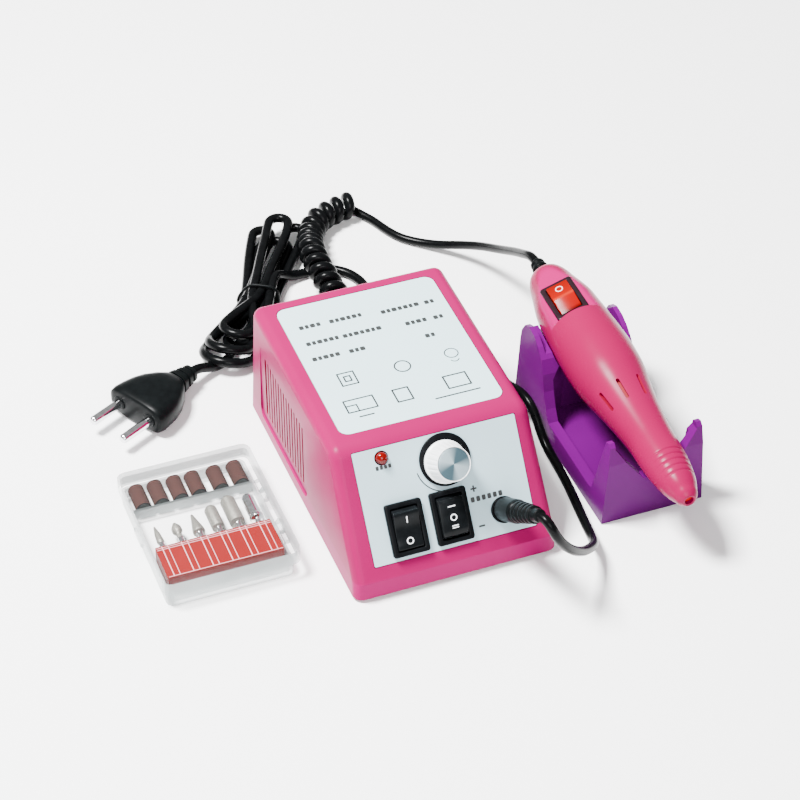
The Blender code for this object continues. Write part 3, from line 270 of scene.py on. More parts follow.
def clear(name, rgb, rough, alpha, edge, edge_alpha, **kw):
    """Clear moulded plastic seen through: denser and darker where its wall is seen edge on."""
    m = bpy.data.materials.new(name)
    t, n, l, b = nodes_of(m)
    lw = n.new("ShaderNodeLayerWeight")
    lw.inputs["Blend"].default_value = 0.35
    l.new(ramp(t, lw.outputs["Facing"], [(0.15, rgb), (0.85, edge)]), b.inputs["Base Color"])
    l.new(span(t, lw.outputs["Facing"], alpha, edge_alpha), b.inputs["Alpha"])
    l.new(span(t, noise(t, 120), max(0.02, rough - 0.04), rough + 0.04), b.inputs["Roughness"])
    add_bump(t, b, noise(t, 900, 2.0), 0.05, 0.00003)
    for k, v in kw.items():
        b.inputs[k.replace("_", " ")].default_value = v
    m.diffuse_color = (*rgb, 1.0)
    return m


def case_material():
    """Clear moulded case: its level faces are see-through, its upright walls milky, its edges pale."""
    m = bpy.data.materials.new("case_clear_v")
    t, n, l, b = nodes_of(m)
    geo = n.new("ShaderNodeNewGeometry")
    sp = n.new("ShaderNodeSeparateXYZ")
    l.new(geo.outputs["Normal"], sp.inputs["Vector"])
    ab = n.new("ShaderNodeMath")
    ab.operation = "ABSOLUTE"
    l.new(sp.outputs["Z"], ab.inputs[0])
    mr = n.new("ShaderNodeMapRange")
    mr.inputs["From Min"].default_value = 0.35
    mr.inputs["From Max"].default_value = 0.97
    mr.inputs["To Min"].default_value = 0.62
    mr.inputs["To Max"].default_value = 0.012
    l.new(ab.outputs[0], mr.inputs["Value"])
    l.new(mr.outputs["Result"], b.inputs["Alpha"])
    l.new(ramp(t, noise(t, 40), [(0.3, (0.36, 0.40, 0.40)), (0.7, (0.46, 0.50, 0.50))]), b.inputs["Base Color"])
    l.new(span(t, noise(t, 120), 0.10, 0.18), b.inputs["Roughness"])
    add_bump(t, b, noise(t, 900, 2.0), 0.05, 0.00003)
    b.inputs["Specular IOR Level"].default_value = 0.3
    m.diffuse_color = (0.86, 0.90, 0.90, 1.0)
    return m


def purple_material():
    """Tinted clear plastic with painted light and shade: light higher up where lit, darker and bluer low down."""
    m = bpy.data.materials.new("purple_clear_v")
    t, n, l, b = nodes_of(m)
    co = n.new("ShaderNodeTexCoord")
    sp = n.new("ShaderNodeSeparateXYZ")
    l.new(co.outputs["Object"], sp.inputs["Vector"])
    mx = n.new("ShaderNodeMath")
    mx.operation = "MULTIPLY_ADD"
    mx.inputs[1].default_value = 10.0
    l.new(sp.outputs["Z"], mx.inputs[0])
    l.new(span(t, noise(t, 22, 2.0), -0.16, 0.30), mx.inputs[2])
    # painted light and shade: the colour runs from dark low down to light higher up
    l.new(ramp(t, mx.outputs[0], [(0.0, (0.050, 0.0, 0.058)), (0.55, (0.088, 0.0, 0.098))]), b.inputs["Base Color"])
    l.new(span(t, noise(t, 160, 3.0), 0.16, 0.26), b.inputs["Roughness"])
    add_bump(t, b, noise(t, 1200, 2.0), 0.04, 0.00003)
    b.inputs["IOR"].default_value = 1.14
    return m


PURPLE = purple_material()
PURPLE_EDGE = plastic("purple_edge_v", srgb("#3E1A78"), 0.2, 0.12, 90, 0.05, 0.03, 2500, Coat_Weight=0.4)
PURPLE_DARK = plastic("purple_dark_v", srgb("#3A1150"), 0.25, 0.10, 90, 0.05, 0.03, 2500)
CLEAR = case_material()
REDCLEAR = plastic("red_clear_v", (0.15, 0.0, 0.0), 0.2, 0.06, 120, 0.05, 0.03, 2500, Specular_IOR_Level=0.25)
BOARD = plastic("board_v", (0.03, 0.20, 0.08), 0.5, 0.3, 500)


# ------------------------------------------------------------------ mesh helpers
def place(name, bm, mats, body="root", smooth=35, matrix=None, replaces=(), bake=False):
    bmesh.ops.recalc_face_normals(bm, faces=bm.faces)
    if matrix is None:
        for v in bm.verts:
            v.co = D(v.co)
    else:
        for v in bm.verts:
            v.co = matrix @ (v.co * MM) if bake else v.co * MM
    me = bpy.data.meshes.new(name)
    bm.to_mesh(me)
    bm.free()
    ob = bpy.data.objects.new(name, me)
    SC.collection.objects.link(ob)
    if matrix is not None and not bake:
        ob.matrix_world = matrix
    for m in (mats if isinstance(mats, (list, tuple)) else [mats]):
        me.materials.append(m)
    if smooth:
        me.shade_smooth()
        me.set_sharp_from_angle(angle=math.radians(smooth))
    if body:
        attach(ob, body)
    if replaces:
        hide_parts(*replaces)
    return ob


def cutter(name, bm, matrix=None):
    ob = place(name, bm, [], None, 0, matrix)
    ob.hide_render = True
    ob.hide_viewport = False
    return ob


def frame_of(origin, x, y, z):
    o = D(origin)
    return Matrix(((x[0], y[0], z[0], o[0]), (x[1], y[1], z[1], o[1]), (x[2], y[2], z[2], o[2]), (0, 0, 0, 1)))


def apply_mods(ob):
    """Bakes the modifiers and removes the cutters they used."""
    used = [m.object for m in ob.modifiers if m.type == "BOOLEAN" and m.object]
    dg = bpy.context.evaluated_depsgraph_get()
    me = bpy.data.meshes.new_from_object(ob.evaluated_get(dg))
    ob.modifiers.clear()
    ob.data = me
    for u in used:
        if u.name in bpy.data.objects:
            bpy.data.objects.remove(u, do_unlink=True)
    return ob


def boolean(ob, other, operation="DIFFERENCE"):
    m = ob.modifiers.new("b", "BOOLEAN")
    m.operation = operation
    m.object = other
    m.solver = "EXACT"
    m.material_mode = "TRANSFER" if operation == "DIFFERENCE" else "INDEX"


def soften(ob, width, segments=3, angle=30):
    m = ob.modifiers.new("soft", "BEVEL")
    m.width = width * MM
    m.segments = segments
    m.limit_method = "ANGLE"
    m.angle_limit = math.radians(angle)
    m.use_clamp_overlap = True
    m.miter_outer = "MITER_ARC"
    w = ob.modifiers.new("wn", "WEIGHTED_NORMAL")
    w.keep_sharp = False
    ob.data.shade_smooth()
    return ob


def loft(bm, rings, cap=True, closed=False):
    made = [[bm.verts.new(p) for p in ring] for ring in rings]
    pairs = list(zip(made, made[1:])) + ([(made[-1], made[0])] if closed else [])
    for a, b in pairs:
        n = max(len(a), len(b))
        for i in range(n):
            j = (i + 1) % n
            if len(a) == 1:
                bm.faces.new((a[0], b[i], b[j]))
            elif len(b) == 1:
                bm.faces.new((a[i], a[j], b[0]))
            else:
                bm.faces.new((a[i], a[j], b[j], b[i]))
    if cap and not closed:
        for ring in (made[0], made[-1]):
            if len(ring) > 2:
                bm.faces.new(ring)
    return made


def box(bm, x0, x1, y0, y1, z0, z1):
    return loft(bm, [[(x0, y0, z), (x1, y0, z), (x1, y1, z), (x0, y1, z)] for z in (z0, z1)])


def prism(bm, outline, z0, z1):
    return loft(bm, [[(x, y, z) for x, y in outline] for z in (z0, z1)])


def rounded(x0, x1, y0, y1, r, n=6):
    pts = []
    for cx, cy, a0 in ((x1 - r, y1 - r, 0), (x0 + r, y1 - r, 90), (x0 + r, y0 + r, 180), (x1 - r, y0 + r, 270)):
        for k in range(n + 1):
            a = math.radians(a0 + 90 * k / n)
            pts.append((cx + r * math.cos(a), cy + r * math.sin(a)))
    return pts


def lathe(bm, profile, n=48, closed=False, centre=(0, 0)):
    rings = []
    for z, r in profile:
        rings.append([(centre[0], centre[1], z)] if r < 1e-6 else
                     [(centre[0] + r * math.cos(2 * math.pi * k / n), centre[1] + r * math.sin(2 * math.pi * k / n), z)
                      for k in range(n)])
    return loft(bm, rings, cap=not closed, closed=closed)


def fine_profile(profile, r=0.25, n=3):
    """Rounds every corner of a (z, r) profile by about r."""
    out = [profile[0]]
    for a, b, c in zip(profile, profile[1:], profile[2:]):
        va, vc = Vector((a[0] - b[0], a[1] - b[1])), Vector((c[0] - b[0], c[1] - b[1]))
        la, lc = va.length, vc.length
        if la < 1e-6 or lc < 1e-6:
            out.append(b)
            continue
        d = min(r, la * 0.45, lc * 0.45)
        p, q = Vector(b) + va / la * d, Vector(b) + vc / lc * d
        for k in range(n + 1):
            f = k / n
            w = p * (1 - f) ** 2 + Vector(b) * 2 * f * (1 - f) + q * f * f
            out.append((w.x, w.y))
    out.append(profile[-1])
    return out


def catmull(points, step=None, count=None):
    p = [Vector(a) for a in points]
    p = [p[0] * 2 - p[1]] + p + [p[-1] * 2 - p[-2]]
    fine = []
    for a, b, c, d in zip(p, p[1:], p[2:], p[3:]):
        t0, t1 = 0.0, (b - a).length ** 0.5
        t2 = t1 + (c - b).length ** 0.5
        t3 = t2 + (d - c).length ** 0.5
        for k in range(24):
            t = t1 + (t2 - t1) * k / 24
            a1 = a * ((t1 - t) / (t1 - t0)) + b * ((t - t0) / (t1 - t0))
            a2 = b * ((t2 - t) / (t2 - t1)) + c * ((t - t1) / (t2 - t1))
            a3 = c * ((t3 - t) / (t3 - t2)) + d * ((t - t2) / (t3 - t2))
            b1 = a1 * ((t2 - t) / (t2 - t0)) + a2 * ((t - t0) / (t2 - t0))
            b2 = a2 * ((t3 - t) / (t3 - t1)) + a3 * ((t - t1) / (t3 - t1))
            fine.append(b1 * ((t2 - t) / (t2 - t1)) + b2 * ((t - t1) / (t2 - t1)))
    fine.append(p[-2])
    length = [0.0]
    for a, b in zip(fine, fine[1:]):
        length.append(length[-1] + (b - a).length)
    n = count if count else max(2, round(length[-1] / step))
    out, k = [], 0
    for i in range(n + 1):
        s = length[-1] * i / n
        while k < len(fine) - 2 and length[k + 1] < s:
            k += 1
        f = (s - length[k]) / max(1e-9, length[k + 1] - length[k])
        out.append(fine[k].lerp(fine[k + 1], min(1.0, max(0.0, f))))
    return out


def cord_curve(name, pts, radius, mat, replaces=(), resolution=3, sides=5):
    cv = bpy.data.curves.new(name, "CURVE")
    cv.dimensions = "3D"
    cv.bevel_depth = radius * MM
    cv.bevel_resolution = sides
    cv.resolution_u = resolution
    cv.use_fill_caps = True
    s = cv.splines.new("NURBS")
    s.points.add(len(pts) - 1)
    for q, v in zip(s.points, pts):
        w = D(v)
        q.co = (w[0], w[1], w[2], 1.0)
    s.order_u = 4
    s.use_endpoint_u = True
    s.use_smooth = True
    cv.materials.append(mat)
    ob = bpy.data.objects.new(name, cv)
    SC.collection.objects.link(ob)
    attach(ob, "root")
    if replaces:
        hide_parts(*replaces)
    return ob


# ------------------------------------------------------------------ frames of the control unit and the handpiece
BOX_W, BOX_D = 84.4, 128.5
K0 = Vector((0, -63.8, 9.0))
FT = Vector((0, -34.1, 52.4))
RT = Vector((0, 60.0, 54.9))
FV = (FT - K0).normalized()
FN = Vector((0, -FV.z, FV.y))
TV = (RT - FT).normalized()
TN = Vector((0, -TV.z, TV.y))
EX = Vector((1, 0, 0))
TIP = Vector((86.3, -85.0, 31.0))
TAIL = Vector((86.3, 54.8, 40.0))
ROLL = math.radians(19.0)
HW = (TAIL - TIP).normalized()
up0 = (Vector((0, 0, 1)) - HW * HW.z).normalized()
side0 = up0.cross(HW)
HU = up0 * math.cos(ROLL) + side0 * math.sin(ROLL)
HS = HU.cross(HW)


def on_front(x, s, h=0.0):
    return frame_of(K0 + EX * x + FV * s + FN * h, EX, FV, FN)


def on_top(x, u, h=0.0):
    return frame_of(FT + EX * x + TV * u + TN * h, EX, TV, TN)


def on_hand(t, s=0.0, u=0.0):
    return frame_of(TIP + HW * t + HS * s + HU * u, HS, HU, HW)


# ------------------------------------------------------------------ handpiece cord: straight, coil, straight
CORD_R, LEAD_R, COIL_R = 1.95, 2.15, 6.4
PLUG = on_front(22.3, 14.8, -4.0) @ Matrix.Rotation(math.radians(-2.6), 4, "X")
plug_axis = (PLUG.to_3x3() @ Vector((0, 0, 1))).normalized()
plug_end = (PLUG @ Vector((0, 0, 46.0 * MM))) / MM - SHIFT
P0 = plug_end + plug_axis * GAP
COIL_START = Vector((15.4, 98.0, 7.3))
COIL_PATH = [COIL_START, (12.9, 109.0, 8.8), (11.8, 121.0, 11.0), (11.6, 132.0, 12.1), (12.5, 140.5, 11.7), (14.8, 149.5, 9.2),
             (18.6, 159.5, 6.8), (25.0, 168.3, 6.6), (34.0, 172.6, 6.6), (44.6, 175.2, 6.6)]
FRONT_ROUTE = [P0 - plug_axis * 2.0, P0 + plug_axis * 2.6, P0 + plug_axis * 4.8 + Vector((0.6, -0.2, -0.9)), (24.8, -96.0, 43.4),
               (28.0, -95.4, 37.2), (33.8, -92.6, 28.9), (42.3, -85.8, 18.9), (49.0, -79.0, 12.6), (53.4, -73.6, 8.4),
               (55.9, -65.6, 4.6), (57.5, -56.0, 2.8), (59.6, -40.5, 2.2), (60.9, -28.0, 2.2), (61.4, -18.0, 2.2),
               (61.5, -10.5, 2.5), (61.3, -4.8, 4.4), (61.1, -0.6, 8.2), (60.8, 3.6, 12.8), (60.2, 8.6, 15.3), (59.2, 15.5, 14.7),
               (57.4, 27.0, 11.0), (54.6, 42.0, 7.6), (51.2, 57.0, 6.4), (46.0, 71.0, 6.4), (38.6, 80.6, 6.9), (30.0, 85.0, 7.1),
               (23.4, 87.2, 7.2), (18.4, 90.6, 7.2), (16.2, 94.5, 7.2)]
h_end = TIP + HW * 148.2
REAR_ROUTE = [(47.2, 171.0, 2.1), (49.6, 167.6, 2.1), (51.4, 162.6, 2.1), (53.6, 156.4, 2.1), (57.6, 148.4, 2.1),
              (64.4, 141.4, 2.4), (71.0, 134.4, 4.2), (77.3, 126.0, 8.2), (82.2, 114.6, 14.2), (85.2, 99.0, 22.4),
              (86.2, 84.0, 31.2), (86.1, 73.4, 37.2), h_end + HW * 3.9, h_end + HW * 0.2, h_end - HW * 2.5]
TURNS, PER_TURN = 16.0, 14
centre = catmull(COIL_PATH, count=int(TURNS * PER_TURN))
coil = []
for i, c in enumerate(centre):
    a = (centre[min(i + 1, len(centre) - 1)] - centre[max(i - 1, 0)]).normalized()
    u = (Vector((0, 0, 1)) - a * a.z).normalized()
    w = a.cross(u)
    n_all = len(centre) - 1
    th = math.pi - 2 * math.pi * TURNS * (1 - i / n_all)
    r = (COIL_R - 2.4) * min(1.0, (i / (0.6 * PER_TURN)) ** 0.8) if i < 0.6 * PER_TURN else COIL_R - 2.4
    coil.append(c + u * (r * math.cos(th)) - w * (r * math.sin(th)))
front_pts = catmull(FRONT_ROUTE, count=39)
rear_pts = catmull(REAR_ROUTE, count=26)
hand_pts = list(reversed(front_pts + coil[1:] + rear_pts[1:]))
hand_cord = cord_curve("handpiece_cord_v", hand_pts, CORD_R, CORD,
                       ("handpiece_cord_front", "handpiece_cord_coil", "handpiece_cord_rear"))
jacket = cord_curve("coil_jacket", coil[6:-4], 2.40, CORD)     # the cord is stouter where it was wound

# ------------------------------------------------------------------ mains lead: out of the gland, hank, tail, plug
RN = Vector((0, 54.9 - 1.5, BOX_D / 2 - 60.0)).normalized()
GLAND_Y = BOX_D / 2 - (BOX_D / 2 - 60.0) * (17.0 - 1.5) / (54.9 - 1.5)
GLAND_ORG = Vector((28.0, GLAND_Y, 17.0))
GLAND_FRAME = frame_of(GLAND_ORG, (-1, 0, 0), Vector((0, -RN.z, RN.y)), RN)
gl_end = GLAND_ORG + RN * 16.0
LEAD_ROUTE = [gl_end - RN * 2.5, gl_end + RN * GAP, gl_end + RN * 4.0, gl_end + RN * 8.0, (28.4, 93.5, 14.0), (29.2, 100.0, 7.0),
              (29.8, 108.0, 2.9), (29.9, 117.0, 2.3), (28.9, 125.6, 2.3), (25.3, 132.6, 2.3), (20.0, 136.8, 2.3), (13.0, 138.6, 2.3),
              (6.0, 138.2, 2.6), (1.6, 137.4, 3.4), (-3.4, 136.0, 6.4), (-8.2, 132.6, 9.6)]
HC = catmull([(-47.0, 88.0, 0), (-39.6, 97.0, 0), (-32.2, 105.4, 0), (-25.4, 114.2, 0), (-17.8, 125.6, 0), (-12.8, 134.6, 0),
              (-6.0, 147.4, 0), (0.8, 159.2, 0), (7.5, 172.5, 0)], count=100)
WAIST = 0.455


def hank_at(f, u, z, along=0.0):
    """Point of the bundle: f runs from the near end to the far end, u to the right, z up."""
    x = max(0.0, min(1.0, f)) * 100
    k = min(99, int(x))
    p = HC[k].lerp(HC[k + 1], x - k)
    d = (HC[min(100, k + 2)] - HC[max(0, k - 2)]).normalized()
    return Vector((p.x + d.y * u + d.x * along, p.y - d.x * u + d.y * along, z))


def ease(a):
    return a * a * (3 - 2 * a)


#          waist u, z       near u, z       far u, z
STRAND = [((6.3, 10.0), (11.4, 2.4), (6.3, 10.0)),
          ((-6.6, 2.4), (-11.6, 2.5), (-11.2, 4.4)),
          ((-4.4, 6.2), (-9.6, 6.6), (-2.6, 4.4)),
          ((-2.2, 10.0), (9.4, 6.6), (-4.3, 8.7)),
          ((2.2, 10.0), (-6.6, 10.2), (4.9, 8.7)),
          ((4.4, 6.2), (7.6, 9.6), (3.6, 4.6)),
          ((6.6, 2.4), (5.2, 2.4), (11.6, 4.6)),
          ((-2.2, 2.4), (-5.2, 2.4), (-7.2, 2.3)),
          ((2.2, 2.4), (0.4, 2.3), (6.4, 2.3))]
F_NEAR = {0: 0.10, 1: 0.10, 2: 0.12, 3: 0.12, 4: 0.20, 5: 0.20, 6: 0.20, 7: 0.20, 8: 0.05}
F_FAR = {1: 0.93, 2: 0.93, 3: 0.97, 4: 0.97, 5: 0.965, 6: 0.965, 7: 0.86, 8: 0.86}
END_Z = {(0, 1): 6.9, (2, 3): 10.9, (4, 5): 11.2, (6, 7): 2.4}


def strand_point(k, f):
    (wu, wz), (nu, nz), (tu, tz) = STRAND[k]
    if f < WAIST:
        a = ease(max(0.0, min(1.0, (f - F_NEAR[k]) / (WAIST - F_NEAR[k]))))
        return hank_at(f, nu + (wu - nu) * a, nz + (wz - nz) * a)
    top = F_FAR.get(k, 0.9)
    a = ease(min(1.0, (f - WAIST) / (top - WAIST)))
    return hank_at(f, wu + (tu - wu) * a, wz + (tz - wz) * a)


def run(k, f0, f1, n=9):
    return [strand_point(k, f0 + (f1 - f0) * i / n) for i in range(n + 1)]


def bight(a, b, far):
    """Half turn from strand a to strand b at the near or far end."""
    f = (F_FAR if far else F_NEAR)[a]
    col = 2 if far else 1
    ua, ub = STRAND[a][col][0], STRAND[b][col][0]
    za, zb = STRAND[a][col][1], STRAND[b][col][1]
    zm = (za + zb) / 2 if far else END_Z[(min(a, b), max(a, b))]
    mid, rad = (ua + ub) / 2, (ua - ub) / 2
    out = []
    for i in range(1, 8):
        ph = math.pi * i / 8
        e = math.sin(ph)
        z = za + (zb - za) * i / 8 + (zm - (za + zb) / 2) * e
        out.append(hank_at(f, mid + rad * math.cos(ph), z, abs(rad) * e * (1.0 if far else -1.0)))
    return out


lead = catmull(LEAD_ROUTE, count=34)
hank = run(0, 0.42, F_NEAR[0], 6) + bight(0, 1, False)
hank += run(1, F_NEAR[1], F_FAR[1]) + bight(1, 2, True) + run(2, F_FAR[2], F_NEAR[2]) + bight(2, 3, False)
hank += run(3, F_NEAR[3], F_FAR[3]) + bight(3, 4, True) + run(4, F_FAR[4], F_NEAR[4]) + bight(4, 5, False)
hank += run(5, F_NEAR[5], F_FAR[5]) + bight(5, 6, True) + run(6, F_FAR[6], F_NEAR[6]) + bight(6, 7, False)
hank += run(7, F_NEAR[7], F_FAR[7]) + bight(7, 8, True) + run(8, F_FAR[8], 0.06)
PLUG_DIR = Vector((-0.878, -0.478, 0)).normalized()
PLUG_RELIEF = Vector((-61.0, 84.4, 7.2))
tail = catmull([hank[-1], (-49.6, 89.2, 3.0), (-53.6, 87.8, 4.8), (-57.2, 86.4, 6.6), PLUG_RELIEF - PLUG_DIR * 1.4,
                PLUG_RELIEF + PLUG_DIR * 2.0], count=8)
lead_pts = lead + hank + tail[1:]
mains = cord_curve("mains_lead_v", lead_pts, LEAD_R, CORD, ("mains_lead", "mains_hank", "mains_tail"))

# thin wire tie round the waist
TIE_F = WAIST
ring = [(-9.3, 2.6), (-8.4, 6.2), (-5.6, 10.4), (-2.6, 13.0), (2.4, 13.2), (7.2, 13.0), (9.4, 10.6), (9.6, 6.0), (9.3, 2.2),
        (7.2, 0.75), (0.0, 0.7), (-7.4, 0.75)]
rp = [hank_at(TIE_F, u, z) for u, z in ring]
tv_, tc_ = [], bpy.data.curves.new("cord_tie_v", "CURVE")
tc_.dimensions = "3D"
tc_.bevel_depth = 0.62 * MM
tc_.bevel_resolution = 4
sp_ = tc_.splines.new("NURBS")
sp_.points.add(len(rp) - 1)
for q_, v_ in zip(sp_.points, rp):
    w_ = D(v_)
    q_.co = (w_[0], w_[1], w_[2], 1.0)
sp_.order_u = 3
sp_.use_cyclic_u = True
tc_.materials.append(MOULD)
tie = bpy.data.objects.new("cord_tie_v", tc_)
SC.collection.objects.link(tie)
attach(tie, "root")
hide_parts("cord_tie")

# mains plug: flat moulded body with ribs at the relief
MP = frame_of(PLUG_RELIEF, PLUG_DIR, Vector((0, 0, 1)).cross(PLUG_DIR), (0, 0, 1))
secs = [(0.0, 2.7, 2.7), (0.3, 3.4, 3.1), (1.9, 3.7, 3.3), (2.2, 3.0, 2.8), (3.1, 3.1, 2.9), (3.4, 4.1, 3.6), (5.3, 4.4, 3.8),
        (5.6, 3.6, 3.2), (6.5, 3.8, 3.3), (6.8, 4.8, 4.1), (8.9, 5.2, 4.4), (9.2, 4.4, 3.8), (10.2, 5.8, 4.6), (13.5, 8.9, 5.6),
        (18.0, 11.9, 6.4), (22.0, 13.5, 6.8), (26.0, 14.5, 6.9), (31.0, 15.2, 6.9), (33.4, 14.7, 6.7), (34.0, 13.9, 6.2), (34.2, 12.5, 5.4)]
bm = bmesh.new()
rings = []
for x, hw, hh in secs:
    rr = []
    for k in range(40):
        a = 2 * math.pi * (k + 0.5) / 40
        e = 0.62
        cy, cz = math.cos(a), math.sin(a)
        rr.append((x, hw * math.copysign(abs(cy) ** e, cy), hh * math.copysign(abs(cz) ** e, cz)))
    rings.append(rr)
loft(bm, rings)
mains_plug = place("mains_plug_v", bm, MOULD, smooth=40, matrix=MP, replaces=("mains_plug",))
yv = Vector((0, 0, 1)).cross(PLUG_DIR)
for nm, sy in (("plug_pin_left", 1), ("plug_pin_right", -1)):
    bm = bmesh.new()
    lathe(bm, fine_profile([(28.0, 0), (28.0, 2.0), (49.2, 2.0), (50.1, 1.5), (50.4, 0.6), (50.4, 0)], 0.4), 28)
    place(nm + "_v", bm, CHROME, smooth=40,
                      matrix=frame_of(PLUG_RELIEF + yv * (8.7 * sy), yv, (0, 0, 1), PLUG_DIR), replaces=(nm,))
bm = bmesh.new()
for sy in (-1, 1):
    lathe(bm, [(34.0, 2.05), (34.0, 3.2), (34.5, 3.1), (34.7, 2.7), (34.7, 2.05)], 24, closed=True, centre=(8.7 * sy, 0))
collars = place("pin_collars", bm, MOULD, smooth=40, matrix=frame_of(PLUG_RELIEF, yv, (0, 0, 1), PLUG_DIR))

# low-voltage plug with a ribbed relief
bm = bmesh.new()
prof = [(-4.8, 0), (-4.8, 2.4), (-4.4, 2.6), (5.9, 2.6), (5.9, 4.4), (6.4, 4.75), (20.5, 4.75), (22.0, 4.3)]
z = 22.6
for k, r in enumerate((4.35, 4.2, 4.0, 3.8, 3.6)):
    prof += [(z, r - 0.85), (z + 0.9, r - 0.85), (z + 1.1, r), (z + 2.9, r - 0.1), (z + 3.1, r - 0.9)]
    z += 3.7
prof += [(41.4, 2.75), (45.6, 2.6), (46.0, 2.3), (46.0, 0)]
lathe(bm, fine_profile(prof, 0.3), 40)
dc_plug = place("dc_plug_v", bm, MOULD, smooth=40, matrix=PLUG, replaces=("dc_plug",))


# ------------------------------------------------------------------ control unit
PANEL_R = (-32.8, 34.2, 5.5, 50.2)
LABEL_R = (-33.4, 34.2, 7.6, 87.2)
SW1, SW2, KNOB, LED, JACK = (-17.45, 17.45), (0.9, 17.6), (2.5, 38.9), (-21.5, 46.0), (22.3, 14.8)


def hull(bm, d):
    f = FT - (FN + TN) * (d / (1 + FN.dot(TN)))
    r = RT - TN * d - Vector((0, d, 0))
    sec = [(-BOX_D / 2 + d, 1.5, BOX_W - 2 * d), (-BOX_D / 2 + d + 0.4, 9.0, BOX_W - 0.3 - 2 * d), (f.y, f.z, 81.6 - 2 * d),
           (r.y, r.z, 82.2 - 2 * d), (BOX_D / 2 - d, 1.5, BOX_W - 2 * d)]
    left = [bm.verts.new((-w / 2, y, z)) for y, z, w in sec]
    right = [bm.verts.new((w / 2, y, z)) for y, z, w in sec]
    for i in range(5):
        j = (i + 1) % 5
        bm.faces.new((left[i], left[j], right[j], right[i]))
    bm.faces.new(left)
    bm.faces.new(list(reversed(right)))
    bmesh.ops.recalc_face_normals(bm, faces=bm.faces)


def shell_pink():
    """Shell plastic, a little lighter on the upright band along the bottom: painted light standing in for light bounced
    up from the floor.
    """
    m = bpy.data.materials.new("pink_shell_v2")
    t, n, l, b = nodes_of(m)
    co = n.new("ShaderNodeTexCoord")
    sp = n.new("ShaderNodeSeparateXYZ")
    l.new(co.outputs["Object"], sp.inputs["Vector"])
    # below 8.6 mm the mix takes the lighter colour a: painted light for the glow bounced up from the floor onto the
    # upright band
    mr = n.new("ShaderNodeMapRange")
    mr.inputs["From Min"].default_value = 0.0086
    mr.inputs["From Max"].default_value = 0.0094
    l.new(sp.outputs["Z"], mr.inputs["Value"])
    a = ramp(t, noise(t, 25), [(0.3, (0.235, 0.0, 0.072)), (0.7, (0.25, 0.0, 0.078))])
    c = ramp(t, noise(t, 25), [(0.3, (0.205, 0.0, 0.054)), (0.7, (0.22, 0.0, 0.059))])
    mx = n.new("ShaderNodeMix")
    mx.data_type = "RGBA"
    l.new(mr.outputs["Result"], mx.inputs["Factor"])
    l.new(a, mx.inputs["A"])
    l.new(c, mx.inputs["B"])
    l.new(mx.outputs["Result"], b.inputs["Base Color"])
    l.new(span(t, noise(t, 100, 4.0), 0.28, 0.38), b.inputs["Roughness"])
    add_bump(t, b, noise(t, 3000, 2.0), 0.06, 0.00003)
    b.inputs["IOR"].default_value = 1.13
    return m


SHELL = shell_pink()
bm = bmesh.new()
hull(bm, 0.0)
soft = [e for e in bm.edges if not all(v.co.z < 1.51 for v in e.verts) and
        (abs(e.verts[0].co.x - e.verts[1].co.x) < 5 or (e.verts[0].co.z > 30 and e.verts[1].co.z > 30))]
bmesh.ops.bevel(bm, geom=soft, offset=4.2, offset_type="OFFSET", segments=12, profile=0.5, affect="EDGES")
housing = place("housing_v", bm, [SHELL, PINK_SLOT_SHADE], smooth=30, replaces=("housing_shell",))
bm = bmesh.new()
hull(bm, 2.4)
for v in bm.verts:
    if v.co.z < 1.51:
        v.co.z = -3.0
boolean(housing, cutter("hollow_c", bm))
bm = bmesh.new()
x0, x1, s0, s1 = PANEL_R
prism(bm, rounded(x0 - GAP, x1 + GAP, s0 - GAP, s1 + GAP, 0.6, 3), -0.9, 6.0)
boolean(housing, cutter("panel_c", bm, on_front(0, 0)))
bm = bmesh.new()
x0, x1, u0, u1 = LABEL_R
prism(bm, rounded(x0 - GAP, x1 + GAP, u0 - GAP, u1 + GAP, 4.3, 8), -0.9, 6.0)
boolean(housing, cutter("label_c", bm, on_top(0, 0)))
bm = bmesh.new()
for cx, cs in (SW1, SW2):
    box(bm, cx - 6.7, cx + 6.7, cs - 9.6, cs + 9.6, -9, 4)
lathe(bm, [(-9, 4.5), (4, 4.5)], 24, centre=KNOB)
lathe(bm, [(-9, 2.8), (4, 2.8)], 24, centre=LED)
lathe(bm, [(-9, 4.3), (4, 4.3)], 24, centre=JACK)
boolean(housing, cutter("holes_c", bm, on_front(0, 0)))
bm = bmesh.new()
for k in range(15):
    y = -2 + 45 * k / 14
    w = 1.0 if k == 14 else 0.62
    for side in (-1, 1):
        a, b_ = sorted((side * 36.0, side * 46.0))
        ring_ = [(y - w, 10.5 + w), (y - w, 39.5 - w)] + [(y + w * math.cos(q), 39.5 - w + w * math.sin(q)) for q in
                 [math.pi * (1 - j / 6) for j in range(1, 6)]] + [(y + w, 39.5 - w), (y + w, 10.5 + w)] + \
                [(y + w * math.cos(q), 10.5 + w - w * math.sin(q)) for q in [math.pi * j / 6 for j in range(1, 6)]]
        loft(bm, [[(x, yy, zz) for yy, zz in ring_] for x in (a, b_)])
vc = cutter("vents_c", bm)
# vent walls get the deeper pink as painted shade
vc.data.materials.append(PINK_SLOT_SHADE)
boolean(housing, vc)
bm = bmesh.new()
# shallow recess round the louvres of each side
for side in (-1, 1):
    o = [(-8.0, 6.0), (50.0, 6.0), (50.0, 41.6), (-8.0, 41.6)]
    rr_ = rounded(-8.0, 49.5, 6.5, 43.0, 4.0, 6)
    a, b_ = sorted((side * 41.25, side * 46.0))
    loft(bm, [[(x, yy, zz) for yy, zz in rr_] for x in (a, b_)])
boolean(housing, cutter("side_recess_c", bm))
bm = bmesh.new()
lathe(bm, [(-8, 3.6), (8, 3.6)], 24)
boolean(housing, cutter("gland_c", bm, GLAND_FRAME))
apply_mods(housing)
housing.data.shade_smooth()
housing.data.set_sharp_from_angle(angle=math.radians(24))


